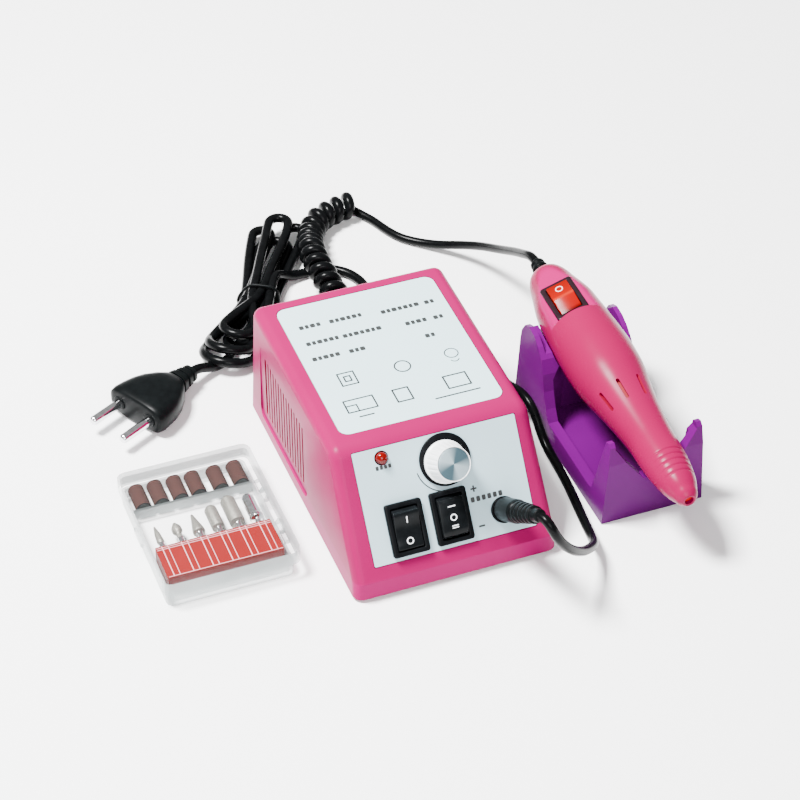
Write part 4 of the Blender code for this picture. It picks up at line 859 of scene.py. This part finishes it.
def sheet(name, rect, frame, z0, z1, r, mat, holes, node):
    x0, x1, y0, y1 = rect
    bm = bmesh.new()
    prism(bm, rounded(x0, x1, y0, y1, r, 8), z0, z1)
    ob = place(name, bm, [mat, INK_SOFT], smooth=30, matrix=frame, replaces=(node,))
    if holes:
        bm = bmesh.new()
        for h in holes:
            if len(h) == 4:
                box(bm, h[0], h[1], h[2], h[3], -3, 3)
            else:
                lathe(bm, [(-3, h[2]), (3, h[2])], 40, centre=(h[0], h[1]))
        boolean(ob, cutter(name + "_c", bm, frame))
        apply_mods(ob)
    return ob


holes = [(cx - 6.7, cx + 6.7, cs - 9.6, cs + 9.6) for cx, cs in (SW1, SW2)]
holes += [(*KNOB, 4.5), (*LED, 2.9), (*JACK, 4.3)]
sheet("panel_v", PANEL_R, on_front(0, 0), -0.85, 0.0, 0.5, PANEL, holes, "front_panel_plate")
sheet("label_v", LABEL_R, on_top(0, 0), -0.85, -0.1, 4.0, SHEET, [], "top_label")


def marks(name, frame, bars, mat, z0=-0.09, z1=0.0, body_="root"):
    """Printed bars, each (x0, x1, y0, y1) on a sheet."""
    bm = bmesh.new()
    for x0, x1, y0, y1 in bars:
        w = min(x1 - x0, y1 - y0) * 0.25
        prism(bm, rounded(x0, x1, y0, y1, w, 2), z0, z1)
    return place(name, bm, mat, body_, 0, frame)


def annulus(bm, cx, cy, r0, r1, z0, z1, a0=0, a1=360, n=48, sq=1.0):
    full = abs(a1 - a0) >= 360
    m_ = n if full else n + 1
    rows = []
    for k in range(m_):
        a = math.radians(a0 + (a1 - a0) * k / n)
        c, s = math.cos(a), math.sin(a) * sq
        rows.append([(cx + r0 * c, cy + r0 * s, z0), (cx + r1 * c, cy + r1 * s, z0), (cx + r1 * c, cy + r1 * s, z1),
                     (cx + r0 * c, cy + r0 * s, z1)])
    loft(bm, rows, cap=not full, closed=full)


bars = []
for x, u, w in [(-27.6, 72.4, 11), (-14.8, 72.2, 15.4), (6.7, 70.6, 16.5), (25.4, 70.4, 6), (-28.2, 62.0, 14), (-12.8, 61.8, 17),
                (13.4, 60.4, 10.5), (25.4, 60.2, 5.4), (-29.0, 52.4, 13.4), (-13.6, 52.2, 8.8), (18.1, 50.6, 6.2)]:
    k, seg = x, [1.9, 1.5, 2.1, 1.7]
    j = 0
    while k + seg[j % 4] <= x + w:
        bars.append((k, k + seg[j % 4], u, u + 2.3))
        k += seg[j % 4] + 0.6
        j += 1


def outline_bars(x0, x1, y0, y1, w):
    return [(x0, x1, y0, y0 + w), (x0, x1, y1 - w, y1), (x0, x0 + w, y0, y1), (x1 - w, x1, y0, y1)]


bars += outline_bars(-23.4, -16.2, 34.2, 42.2, 0.65) + outline_bars(-21.4, -18.2, 36.4, 40.0, 0.65)
bars += outline_bars(-26.6, -14.0, 18.6, 26.2, 0.65) + outline_bars(-26.6, -21.6, 18.6, 23.0, 0.6)
bars += [(-23.2, -17.0, 15.2, 15.9)]
bars += outline_bars(-6.4, 0.6, 18.0, 26.0, 0.7) + outline_bars(15.0, 25.0, 18.6, 26.6, 0.7) + [(8.0, 27.0, 14.8, 15.5)]
marks("label_marks", on_top(0, 0), bars, INK, -0.11, -0.045)
bm = bmesh.new()
annulus(bm, 3.0, 37.8, 2.9, 3.5, -0.11, -0.045)
annulus(bm, 24.0, 38.6, 2.5, 2.95, -0.11, -0.045)
annulus(bm, 24.0, 35.2, 1.6, 2.0, -0.11, -0.045, 200, 340)
place("label_rings", bm, INK, smooth=0, matrix=on_top(0, 0))
bars = [(10.7, 13.3, 25.3, 26.0), (11.65, 12.35, 24.35, 26.95), (11.1, 13.7, 10.3, 11.05)]
for k in range(6):
    bars.append((10.0 + 2.3 * k, 11.6 + 2.3 * k, 20.4, 22.5))
for k in range(4):
    bars.append((-24.6 + 1.7 * k, -23.4 + 1.7 * k, 41.6, 43.2))
marks("panel_marks", on_front(0, 0), bars, INK, -0.01, 0.05)
bm = bmesh.new()
annulus(bm, 2.5, 38.9, 11.3, 11.75, -0.01, 0.05, 190, 285)
place("dial_arc", bm, INK, smooth=0, matrix=on_front(0, 0))

# ------------------------------------------------------------------ switches
def bezel(name, mat, frame, flange, window, case, t, lift, depth, node):
    (fw, fl), (ww, wl), (cw, cl) = flange, window, case
    top = lift + t

    def rr(w, l, z, r, shrink=0.0):
        return [(x, y, z) for x, y in rounded(-w / 2 + shrink, w / 2 - shrink, -l / 2 + shrink, l / 2 - shrink, r, 5)]
    rings = [rr(fw, fl, lift, 1.1)]
    for k in range(5):
        a = math.pi / 2 * k / 4
        e = 0.55
        rings.append(rr(fw, fl, top - e + e * math.sin(a), 1.1, e * (1 - math.cos(a))))
    for k in range(4):
        a = math.pi / 2 * k / 3
        e = 0.25
        rings.append(rr(ww, wl, top - e * (1 - math.cos(a)), 0.6, -e * (1 - math.sin(a))))
    rings += [rr(ww, wl, -depth, 0.6), rr(cw, cl, -depth, 0.6), rr(cw, cl, lift, 0.6)]
    bm = bmesh.new()
    loft(bm, rings, closed=True)
    return place(name, bm, mat, smooth=35, matrix=frame, replaces=(node,))


def arc2(r, a0, a1, n):
    return [(r * math.cos(math.radians(a0 + (a1 - a0) * k / n)), r * math.sin(math.radians(a0 + (a1 - a0) * k / n)))
            for k in range(n + 1)]


def rocker(name, mats, frame, width, outline, body_, node, split=False):
    bm = bmesh.new()
    loft(bm, [[(x, y, z) for y, z in outline] for x in (-width / 2, width / 2)])
    bmesh.ops.recalc_face_normals(bm, faces=bm.faces)
    rim = [e for e in bm.edges if abs(e.verts[0].co.x - e.verts[1].co.x) < 1e-6]
    bmesh.ops.bevel(bm, geom=rim, offset=0.45, offset_type="OFFSET", segments=4, profile=0.5, affect="EDGES")
    ob = place(name, bm, mats, body_, 24, frame, (node,))
    return ob


for nm, (cx, cs), node in (("power_bezel_v", SW1, "power_switch_body"), ("direction_bezel_v", SW2, "direction_switch_body")):
    bezel(nm, BLACK, on_front(cx, cs), (15.0, 21.0), (11.0, 17.2), (12.8, 18.6), 1.8, 0.1, 8.0, node)
PZ = -0.6
m1 = on_front(*SW1, PZ) @ Matrix.Rotation(math.radians(9.0), 4, "X")
a_ = arc2(8.2, -22, 26, 12)
po = a_ + [(6.6, 3.7), (5.0, 3.35), (2.5, 2.95), (0.0, 2.8), (-2.5, 2.95), (-5.0, 3.35), (-6.6, 3.7)] + \
    [(-y, z) for y, z in reversed(a_)] + [(-5.0, -4.6), (5.0, -4.6)]
po = [(max(-8.15, min(8.15, y)), z) for y, z in po]
rocker("power_rocker_v", [BLACK_ROCK], m1, 10.4, po, "power_rocker", "power_rocker")
bm = bmesh.new()
fw = Matrix.Translation((0, 4.3, 3.24)) @ Matrix.Rotation(math.radians(8), 4, "X")
prism(bm, [(x, y) for x, y in rounded(-0.24, 0.24, -1.35, 1.35, 0.1, 2)], 0.0, 0.06)
bmesh.ops.transform(bm, matrix=fw, verts=bm.verts)
bm2 = bmesh.new()
annulus(bm2, 0, 0, 1.0, 1.42, 0.0, 0.06, n=32)
bmesh.ops.transform(bm2, matrix=Matrix.Translation((0, -4.4, 3.26)) @ Matrix.Rotation(math.radians(-8), 4, "X"), verts=bm2.verts)
tmp = bpy.data.meshes.new("tmp_marks")
bm2.to_mesh(tmp)
bm2.free()
bm.from_mesh(tmp)
place("power_marks", bm, WHITE_INK, "power_rocker", 0, m1)
m2 = on_front(*SW2, PZ)
a_ = arc2(8.2, -22, 14, 10)
do = a_ + [(7.3, 3.3), (6.2, 3.95), (4.4, 4.1), (-4.0, 4.1), (-5.6, 3.95), (-7.2, 3.3)] + [(-y, z) for y, z in reversed(a_)] + \
    [(-5.0, -4.6), (5.0, -4.6)]
rocker("direction_rocker_v", [BLACK_ROCK], m2, 10.4, do, "direction_rocker", "direction_rocker")
bm = bmesh.new()
prism(bm, rounded(-1.5, 1.5, 4.0, 4.42, 0.12, 2), 4.1, 4.17)
annulus(bm, 0, -0.2, 0.95, 1.35, 4.1, 4.17, n=32)
prism(bm, rounded(-1.3, 1.3, -3.6, -3.25, 0.12, 2), 4.1, 4.17)
prism(bm, rounded(-1.3, 1.3, -4.4, -4.05, 0.12, 2), 4.1, 4.17)
place("direction_marks", bm, WHITE_INK, "direction_rocker", 0, m2)

# ------------------------------------------------------------------ speed knob, lamp, socket
bm = bmesh.new()
lathe(bm, fine_profile([(0.08, 5.6), (0.08, 10.4), (0.75, 10.4), (0.95, 10.1), (0.95, 5.6)], 0.15), 96, closed=True)
place("dial_disc", bm, BLACK, smooth=30, matrix=on_front(3.0, 39.6))
bm = bmesh.new()
prof = fine_profile([(10.2, 0), (10.2, 3.3), (1.7, 3.3), (1.7, 8.5), (2.7, 8.5), (3.2, 7.9), (11.9, 6.85), (12.65, 6.8),
                     (12.7, 6.5), (11.8, 6.5), (11.8, 0)], 0.18, 3)
N = 240
rings = []
for zz, r in prof:
    ring_ = []
    for k in range(N):
        a = 2 * math.pi * k / N
        f = 1.0
        if 3.0 < zz < 12.35 and r > 6.4:
            f = 1 - 0.032 * (0.5 - 0.5 * math.cos(24 * a)) ** 3 * min(1, (zz - 3.0) / 0.5, (12.35 - zz) / 0.4)
        ring_.append((r * f * math.cos(a), r * f * math.sin(a), zz))
    rings.append([(0, 0, zz)] if r < 1e-6 else ring_)
fine = []
for ra, rb in zip(rings, rings[1:]):
    fine.append(ra)
    if len(ra) == len(rb) and abs(ra[0][2] - rb[0][2]) > 3:
        for j in range(1, 8):
            f = j / 8
            zz = ra[0][2] + (rb[0][2] - ra[0][2]) * f
            r = math.hypot(*ra[0][:2]) + (math.hypot(*rb[0][:2]) - math.hypot(*ra[0][:2])) * f
            fl = 0.032 if r > 6.4 and 3.0 < zz < 12.35 else 0.0
            fine.append([(r * (1 - fl * (0.5 - 0.5 * math.cos(24 * 2 * math.pi * k / N)) ** 3) * math.cos(2 * math.pi * k / N),
                          r * (1 - fl * (0.5 - 0.5 * math.cos(24 * 2 * math.pi * k / N)) ** 3) * math.sin(2 * math.pi * k / N), zz)
                         for k in range(N)])
fine.append(rings[-1])
loft(bm, fine)
place("speed_knob_v", bm, WHITE, "speed_knob", 40, on_front(*KNOB), ("speed_knob",))
bm = bmesh.new()
lathe(bm, fine_profile([(12.0, 0), (12.0, 6.3), (12.45, 6.3), (12.6, 6.05), (12.6, 0)], 0.12), 96)
place("knob_cap_v", bm, cap_material(), "speed_knob", 30, on_front(*KNOB), ("knob_cap",))
bm = bmesh.new()
dome = [(-3.0, 0), (-3.0, 2.4), (0.5, 2.4)] + [(0.5 + 2.1 * math.sin(math.radians(q)), 2.4 * math.cos(math.radians(q))) for q in
                                              range(10, 90, 10)] + [(2.6, 0)]
lathe(bm, [(z, max(0, r)) for z, r in dome], 40)
place("led_v", bm, REDLENS, smooth=40, matrix=on_front(*LED), replaces=("led_lens",))
bm = bmesh.new()
lathe(bm, fine_profile([(-5.0, 3.1), (-5.0, 3.95), (0.1, 3.95), (0.1, 5.3), (1.1, 5.3), (1.3, 4.9), (1.3, 3.1)], 0.12), 48, closed=True)
place("jack_rim", bm, BLACK, smooth=35, matrix=on_front(*JACK))

# ------------------------------------------------------------------ handpiece
OUTER = [(-1.0, 2.9), (0.6, 4.3), (3.0, 5.2), (5.5, 6.25), (9.5, 7.35), (13.5, 8.05), (18.0, 8.65), (22.6, 9.0),
         (33.5, 9.35), (44.6, 10.35), (52.0, 11.3), (60.0, 12.6), (66.0, 13.7), (71.0, 14.45), (77.0, 14.85),
         (84.0, 15.0), (93.0, 14.7), (102.0, 14.2), (110.0, 13.6), (117.0, 13.0), (122.0, 11.95), (128.0, 10.4),
         (133.0, 9.25), (136.0, 8.2), (138.2, 6.9), (139.7, 4.7)]
INNER = [(-1.0, 1.9), (4.6, 1.9), (4.7, 4.0), (15.6, 4.2), (15.7, 5.4), (24.3, 5.4), (24.4, 4.0), (47.0, 4.0),
         (48.5, 8.6), (58.0, 10.4), (61.0, 11.4), (62.5, 12.0), (97.0, 12.0), (97.1, 8.8), (119.0, 8.8), (126.0, 7.8),
         (132.0, 6.6), (133.4, 6.2), (133.5, 2.5), (139.7, 2.5)]
T0, H0, FA = 101.2, 10.9, math.radians(3.2)
fd = HW * math.cos(FA) - HU * math.sin(FA)
fnrm = HU * math.cos(FA) + HW * math.sin(FA)
SWT = 112.2
SORG = TIP + HW * SWT + HU * (H0 - (SWT - T0) * math.tan(FA))
SY = -fd
SX = SY.cross(fnrm)


def on_switch(z):
    return frame_of(SORG + fnrm * z, SX, SY, fnrm)


sm = catmull([(t, r, 0) for t, r in OUTER], step=0.55)
outer = [(-1.0, 2.2), (-1.15, 2.45), (-1.1, 2.75)] + [(p.x, p.y) for p in sm]
NS = 128
rings = []
GROOVES = (9.2, 11.95, 14.7, 17.4, 20.1)


def shell_ring(t, r, flat):
    ring_ = []
    for k in range(NS):
        a = 2 * math.pi * k / NS
        d = 0.0
        for g in GROOVES:
            q = (t - g) / 0.38
            if abs(q) < 3:
                side = max(0.0, min(1.0, (0.75 - math.cos(a)) / 0.6))
                d += 0.34 * math.exp(-q * q) * side
        x, u = (r - d) * math.cos(a), (r - d) * math.sin(a)
        if flat and u > 0:
            h = H0 - (t - T0) * math.tan(FA)
            kk = 5.0
            top = -math.log(math.exp(-kk * (u - h)) + 1.0) / kk + h if u - h > -6 else u
            f = min(1.0, max(0.0, (t - T0) / 0.9))
            u = u + (top - u) * (f * f * (3 - 2 * f))
        ring_.append((x, u, t))
    return ring_


ts = []
for (a, ra), (b_, rb) in zip(outer, outer[1:]):
    n_ = 3 if (8.0 < a < 21.5) or (100.6 < a < 102.8) else 1
    for j in range(n_):
        f = j / n_
        ts.append((a + (b_ - a) * f, ra + (rb - ra) * f))
ts.append(outer[-1])
rings = [shell_ring(t, r, t > T0) for t, r in ts]
for t, r in reversed(INNER):
    rings.append([(r * math.cos(2 * math.pi * k / NS), r * math.sin(2 * math.pi * k / NS), t) for k in range(NS)])
bm = bmesh.new()
loft(bm, rings, closed=True)


def hand_pink():
    """Handpiece plastic: paler on the switch flat, painted light on that upward-facing flat."""
    m = bpy.data.materials.new("pink_hand_v2")
    t, n, l, b = nodes_of(m)
    co = n.new("ShaderNodeTexCoord")
    sp = n.new("ShaderNodeSeparateXYZ")
    to_hand = n.new("ShaderNodeMapping")
    inv = on_hand(0).inverted()
    to_hand.inputs["Location"].default_value = inv.to_translation()
    to_hand.inputs["Rotation"].default_value = inv.to_euler("XYZ")
    l.new(co.outputs["Object"], to_hand.inputs["Vector"])
    l.new(to_hand.outputs["Vector"], sp.inputs["Vector"])
    base = ramp(t, noise(t, 25), [(0.3, (0.185, 0.0, 0.037)), (0.7, (0.20, 0.0, 0.041))])
    flat_light_mask = n.new("ShaderNodeMapRange")
    flat_light_mask.inputs["From Min"].default_value = T0 * MM
    flat_light_mask.inputs["From Max"].default_value = (T0 + 0.8) * MM
    l.new(sp.outputs["Z"], flat_light_mask.inputs["Value"])
    um = n.new("ShaderNodeMapRange")
    um.inputs["From Min"].default_value = 0.0083
    um.inputs["From Max"].default_value = 0.0092
    l.new(sp.outputs["Y"], um.inputs["Value"])
    mul = n.new("ShaderNodeMath")
    mul.operation = "MULTIPLY"
    l.new(flat_light_mask.outputs["Result"], mul.inputs[0])
    l.new(um.outputs["Result"], mul.inputs[1])
    # painted light: the switch flat on top takes the paler colour B
    mx = n.new("ShaderNodeMix")
    mx.data_type = "RGBA"
    l.new(mul.outputs[0], mx.inputs["Factor"])
    l.new(base, mx.inputs["A"])
    mx.inputs["B"].default_value = (0.27, 0.0, 0.078, 1)
    l.new(mx.outputs["Result"], b.inputs["Base Color"])
    l.new(span(t, noise(t, 100, 4.0), 0.22, 0.32), b.inputs["Roughness"])
    add_bump(t, b, noise(t, 3000, 2.0), 0.04, 0.00003)
    b.inputs["IOR"].default_value = 1.17
    return m


HANDM = hand_pink()
hand = place("handpiece_v", bm, [HANDM, PINK_SLOT_SHADE], smooth=32, matrix=on_hand(0),
             replaces=("handpiece_upper_shell", "handpiece_lower_shell"), bake=True)
bm = bmesh.new()
prism(bm, rounded(-6.45, 6.45, -9.65, 9.65, 0.8, 3), -6.0, 4)
boolean(hand, cutter("switch_hole_c", bm, on_switch(0)))
bm = bmesh.new()
for a in (-42, 0, 42):
    mm = Matrix.Rotation(math.radians(-a), 4, "Z")
    rr_ = rounded(-0.7, 0.7, 49.5, 59.6, 0.68, 5)
    loft(bm, [[mm @ Vector((x, h, t)) for x, t in rr_] for h in (8.2, 15.0)])
sc_ = cutter("slots_c", bm, on_hand(0))
# slot walls get the deeper pink as painted shade
sc_.data.materials.append(PINK_SLOT_SHADE)
boolean(hand, sc_)
apply_mods(hand)
hand.data.shade_smooth()
hand.data.set_sharp_from_angle(angle=math.radians(32))
bm = bmesh.new()
lathe(bm, [(0.6, 0), (0.6, 1.85), (1.0, 1.85), (1.0, 0)], 40)
place("tip_throat", bm, TIP_RED, "spindle", 30, on_hand(0))

# deeper pink sheet hugging the inner wall under the slots: painted shade for the slot floors
bm = bmesh.new()
lathe(bm, [(48.9, 8.2), (58.0, 9.9), (61.0, 10.9), (62.2, 11.4), (62.2, 11.7), (61.0, 11.2), (58.0, 10.2), (48.9, 8.5)], 64, closed=True)
place("slot_liner", bm, plastic("slot_floor_shade_v", (0.16, 0.0, 0.006), 0.5, Specular_IOR_Level=0.1), smooth=40,
      matrix=on_hand(0))

bezel("handpiece_bezel_v", BEZEL, on_switch(0), (14.2, 21.0), (10.0, 17.2), (12.2, 18.6), 1.1, 0.1, 6.0, "handpiece_switch_body")


def rocker_red():
    """Red rocker: pure red towards the tip, more orange behind its ridge, with a painted highlight as a paler band on
    the ridge and painted shade darkening its front edge.
    """
    m = bpy.data.materials.new("red_rocker_v2")
    t, n, l, b = nodes_of(m)
    co = n.new("ShaderNodeTexCoord")
    sp = n.new("ShaderNodeSeparateXYZ")
    l.new(co.outputs["Object"], sp.inputs["Vector"])
    mr = n.new("ShaderNodeMapRange")
    mr.inputs["From Min"].default_value = -0.0082
    mr.inputs["From Max"].default_value = 0.0082
    l.new(sp.outputs["Y"], mr.inputs["Value"])
    # painted highlight: the paler orange stop at 0.50 on the ridge; painted shade: the dark stop at 0.97 on the front
    # edge
    c = ramp(t, mr.outputs["Result"], [(0.0, (0.14, 0.001, 0.0)), (0.44, (0.19, 0.002, 0.0)), (0.50, (0.30, 0.014, 0.004)),
                                       (0.56, (0.20, 0.0, 0.0)), (0.88, (0.17, 0.0, 0.0)), (0.97, (0.04, 0.0, 0.0))])
    l.new(c, b.inputs["Base Color"])
    l.new(span(t, noise(t, 300, 3.0), 0.14, 0.22), b.inputs["Roughness"])
    add_bump(t, b, noise(t, 2600, 2.0), 0.03, 0.00002)
    b.inputs["IOR"].default_value = 1.15
    return m


a_ = arc2(8.15, -24, 19, 12)
ho = a_ + [(6.6, 2.85), (4.5, 3.15), (2.0, 3.55), (0.7, 3.8), (0.0, 3.9), (-0.7, 3.8), (-2.0, 3.55), (-4.5, 3.15), (-6.6, 2.85)] + \
    [(-y, z) for y, z in reversed(a_)] + [(-4.6, -4.4), (4.6, -4.4)]
mh = on_switch(-0.8) @ Matrix.Rotation(math.radians(-8.0), 4, "X")
rocker("handpiece_rocker_v", [rocker_red()], mh, 9.4, ho, "handpiece_rocker", "handpiece_rocker")
bm = bmesh.new()
annulus(bm, 0, 0, 1.25, 1.6, 0.0, 0.07, n=40)
bmesh.ops.transform(bm, matrix=Matrix.Translation((0, -4.4, 3.2)) @ Matrix.Rotation(math.radians(-9), 4, "X").inverted(), verts=bm.verts)
place("handpiece_mark", bm, plastic("pale_mark_v", (0.95, 0.55, 0.55), 0.4), "handpiece_rocker", 0, mh)

bm = bmesh.new()
prof = [(135.2, 0), (135.2, 2.2), (139.5, 2.2), (139.5, 3.3), (140.0, 3.75), (141.5, 3.7), (141.8, 3.0), (142.7, 3.0), (143.0, 3.55),
        (144.4, 3.45), (144.7, 2.8), (145.6, 2.8), (145.9, 3.2), (147.2, 3.05), (147.6, 2.5), (148.2, 2.1), (148.2, 0)]
lathe(bm, fine_profile(prof, 0.25), 48)
place("handpiece_relief_v", bm, MOULD, smooth=40, matrix=on_hand(0), replaces=("handpiece_strain_relief",))

# gland with a ribbed relief
bm = bmesh.new()
prof = [(-4.0, 0), (-4.0, 3.4), (0.2, 3.4), (0.2, 4.9), (1.6, 4.9), (2.0, 4.4), (2.4, 3.9)]
z = 3.0
for r in (3.8, 3.65, 3.5, 3.35, 3.2):
    prof += [(z, r - 0.7), (z + 0.6, r - 0.7), (z + 0.8, r), (z + 2.0, r - 0.05), (z + 2.2, r - 0.7)]
    z += 2.6
prof += [(15.9, 2.35), (16.0, 2.2), (16.0, 0)]
lathe(bm, fine_profile(prof, 0.2), 40)
place("mains_gland_v", bm, MOULD, smooth=40, matrix=GLAND_FRAME, replaces=("mains_gland",))

# ------------------------------------------------------------------ bits and bands
HOLD_Y0 = -33.0
SH = 1.18
HEADS = [
    ("bit_needle", [(24.6, SH), (25.6, 1.5), (30.0, 1.2), (34.5, 0.35), (35.0, 0)]),
    ("bit_bud", [(24.8, SH), (27.0, 1.0), (29.0, 2.1), (31.0, 2.0), (33.6, 0.7), (34.2, 0)]),
    ("bit_cone", [(25.0, SH), (25.4, 2.5), (27.0, 2.4), (36.0, 0.5), (36.5, 0)]),
    ("bit_cylinder", [(25.0, SH), (25.4, 2.6), (36.2, 2.6), (37.6, 1.6), (38.0, 0)]),
    ("bit_barrel", [(25.0, SH), (25.4, 3.1), (38.5, 3.1), (40.2, 2.0), (40.6, 0)]),
]
HEADS.append(("bit_mandrel", [(24.4, SH), (24.8, 2.8), (26.0, 2.9), (27.0, 2.5), (37.0, 2.6), (38.6, 1.9), (39.0, 0)]))
BIT_X = [-103.0 + 7.9 * k for k in range(6)]
for (nm, head), x in zip(HEADS, BIT_X):
    bm = bmesh.new()
    lathe(bm, fine_profile([(0.0, 0), (0.0, 0.9), (0.4, SH)] + [(z - 3.0, r) for z, r in head], 0.3), 32)
    for f in bm.faces:
        f.material_index = 1 if f.calc_center_median().z > head[0][0] - 3.05 else 0
    place(nm + "_v", bm, [CHROME, GRIT if nm != "bit_mandrel" else CHROME],
          smooth=40, matrix=frame_of((x, HOLD_Y0 + 1.6, 5.0), (-1, 0, 0), (0, 0, 1), (0, 1, 0)), replaces=(nm,))
for k, x in enumerate((-103.6, -96.0, -88.0, -80.4, -71.2, -62.7), 1):
    bm = bmesh.new()
    lathe(bm, fine_profile([(0.0, 2.7), (0.0, 3.2), (12.2, 3.2), (12.2, 2.7), (0.0, 2.7)], 0.1)[:-1], 40, closed=True)
    fr = frame_of((x, 12.0, 4.75), (-1, 0, 0), (0, 0, 1), (0, 1, 0))
    place(f"sanding_band_{k}_v", bm, SAND, smooth=40, matrix=fr, replaces=(f"sanding_band_{k}",))
    # black discs inside both ends of each band's hole
    bm = bmesh.new()
    lathe(bm, [(0.15, 0), (0.15, 2.66), (0.35, 2.66), (0.35, 0)], 32)
    lathe(bm, [(11.85, 0), (11.85, 2.66), (12.05, 2.66), (12.05, 0)], 32)
    place(f"band_end_disc_{k}", bm, INK, smooth=0, matrix=fr)

# red holder with a channel for every shank
bm = bmesh.new()
cells = []
xs = [-107.0]
for x in BIT_X:
    xs += [x - 1.5, x + 1.5]
xs.append(-60.0)
out_ = []
for i, (a, b_) in enumerate(zip(xs, xs[1:])):
    top = 8.2 if i % 2 == 0 else 3.4
    out_ += [(a, top), (b_, top)]
outline = [(-107.0, 1.5)] + out_ + [(-60.0, 1.5)]
outline = [outline[0]] + [p for p in outline[1:-1]] + [outline[-1]]
loft(bm, [[(x, y, z) for x, z in outline] for y in (-31.8, -15.0)])
holder = place("bit_holder_v", bm, REDCLEAR, smooth=0, replaces=("bit_holder",))
soften(holder, 0.3, 3)
bm = bmesh.new()
box(bm, -107.0, -60.0, -33.0, -15.0, 8.22, 8.6)
box(bm, -107.0, -60.0, -33.0, -31.85, 1.5, 8.18)
cover = place("holder_cover", bm, REDCLEAR, smooth=0)
soften(cover, 0.15, 2)
# pale lines on the cover: each pair along a bit is a painted glint of the shank edges below; three more pale lines run
# across the cover
bm = bmesh.new()
for x in BIT_X:
    box(bm, x - 1.55, x - 1.2, -32.6, -15.3, 8.6, 8.72)
    box(bm, x + 0.9, x + 1.15, -32.6, -15.3, 8.6, 8.72)
for y in (-17.2, -16.2, -32.7):
    box(bm, -106.6, -60.4, y, y + 0.25, 8.6, 8.74)
place("holder_glints_and_lines", bm, plastic("holder_glint_and_line_v", (0.62, 0.30, 0.32), 0.3), smooth=0)

# ------------------------------------------------------------------ looks of the CAD pieces that stay
LOOKS = {
    "base_plate": BASE_PINK, "base_screw_1": STEEL, "base_screw_2": STEEL,
    "potentiometer_body": STEEL, "potentiometer_shaft": STEEL, "output_jack": BLACK,
    "transformer_core": IRON, "transformer_coil": COPPER, "circuit_board": BOARD,
    "motor_can": STEEL, "drive_spindle": STEEL, "collet": BRASS, "front_bearing": STEEL,
    "cradle": PURPLE, "case_base": CLEAR, "case_lid": CLEAR,
}
for k in range(1, 5):
    LOOKS[f"rubber_foot_{k}"] = RUBBER
LOST = []
for nm, mat in LOOKS.items():
    ob = frame["nodes"].get(nm) or bpy.data.objects.get(nm)
    if ob is None:
        LOST.append(nm)
        continue
    ob.data.materials.clear()
    ob.data.materials.append(mat)
for nm, w in (("cradle", 0.7), ("case_lid", 0.5), ("case_base", 0.35)):
    ob = frame["nodes"].get(nm) or bpy.data.objects.get(nm)
    m_ = ob.modifiers.new("soft", "BEVEL")
    m_.width = w * MM
    m_.segments = 3
    m_.limit_method = "ANGLE"
    m_.angle_limit = math.radians(28)
    ob.data.shade_smooth()
    wn = ob.modifiers.new("wn", "WEIGHTED_NORMAL")

# ------------------------------------------------------------------ floor and light
world = bpy.data.worlds.new("world")
SC.world = world
world.use_nodes = True
bg = world.node_tree.nodes["Background"]
bg.inputs["Color"].default_value = (1.0, 1.0, 1.0, 1)
bg.inputs["Strength"].default_value = 0.42

fm = bpy.data.materials.new("floor_v")
t_, n_, l_, b_f = nodes_of(fm)
l_.new(ramp(t_, noise(t_, 3), [(0.3, (0.94, 0.94, 0.94)), (0.7, (0.97, 0.97, 0.97))]), b_f.inputs["Base Color"])
b_f.inputs["Roughness"].default_value = 0.6
b_f.inputs["Specular IOR Level"].default_value = 0.15
bm = bmesh.new()
box(bm, -2500, 2500, -2500, 2500, -12.0, -0.02)
floor = place("floor", bm, fm, None, 0)


def area(name, loc, target, size, power, color=(1, 1, 1)):
    ld = bpy.data.lights.new(name, "AREA")
    ld.shape = "SQUARE"
    ld.size = size
    ld.energy = power
    ld.color = color
    ob = bpy.data.objects.new(name, ld)
    SC.collection.objects.link(ob)
    a, b = Vector(loc), Vector(target)
    ob.location = a
    ob.rotation_euler = (b - a).to_track_quat("-Z", "Y").to_euler()
    return ob


key = area("key", (-0.50, 0.20, 1.20), (0, 0, 0), 0.34, 105.0)
fill = area("fill", (-0.25, -1.2, 0.9), (0, 0, 0), 0.8, 22.0)
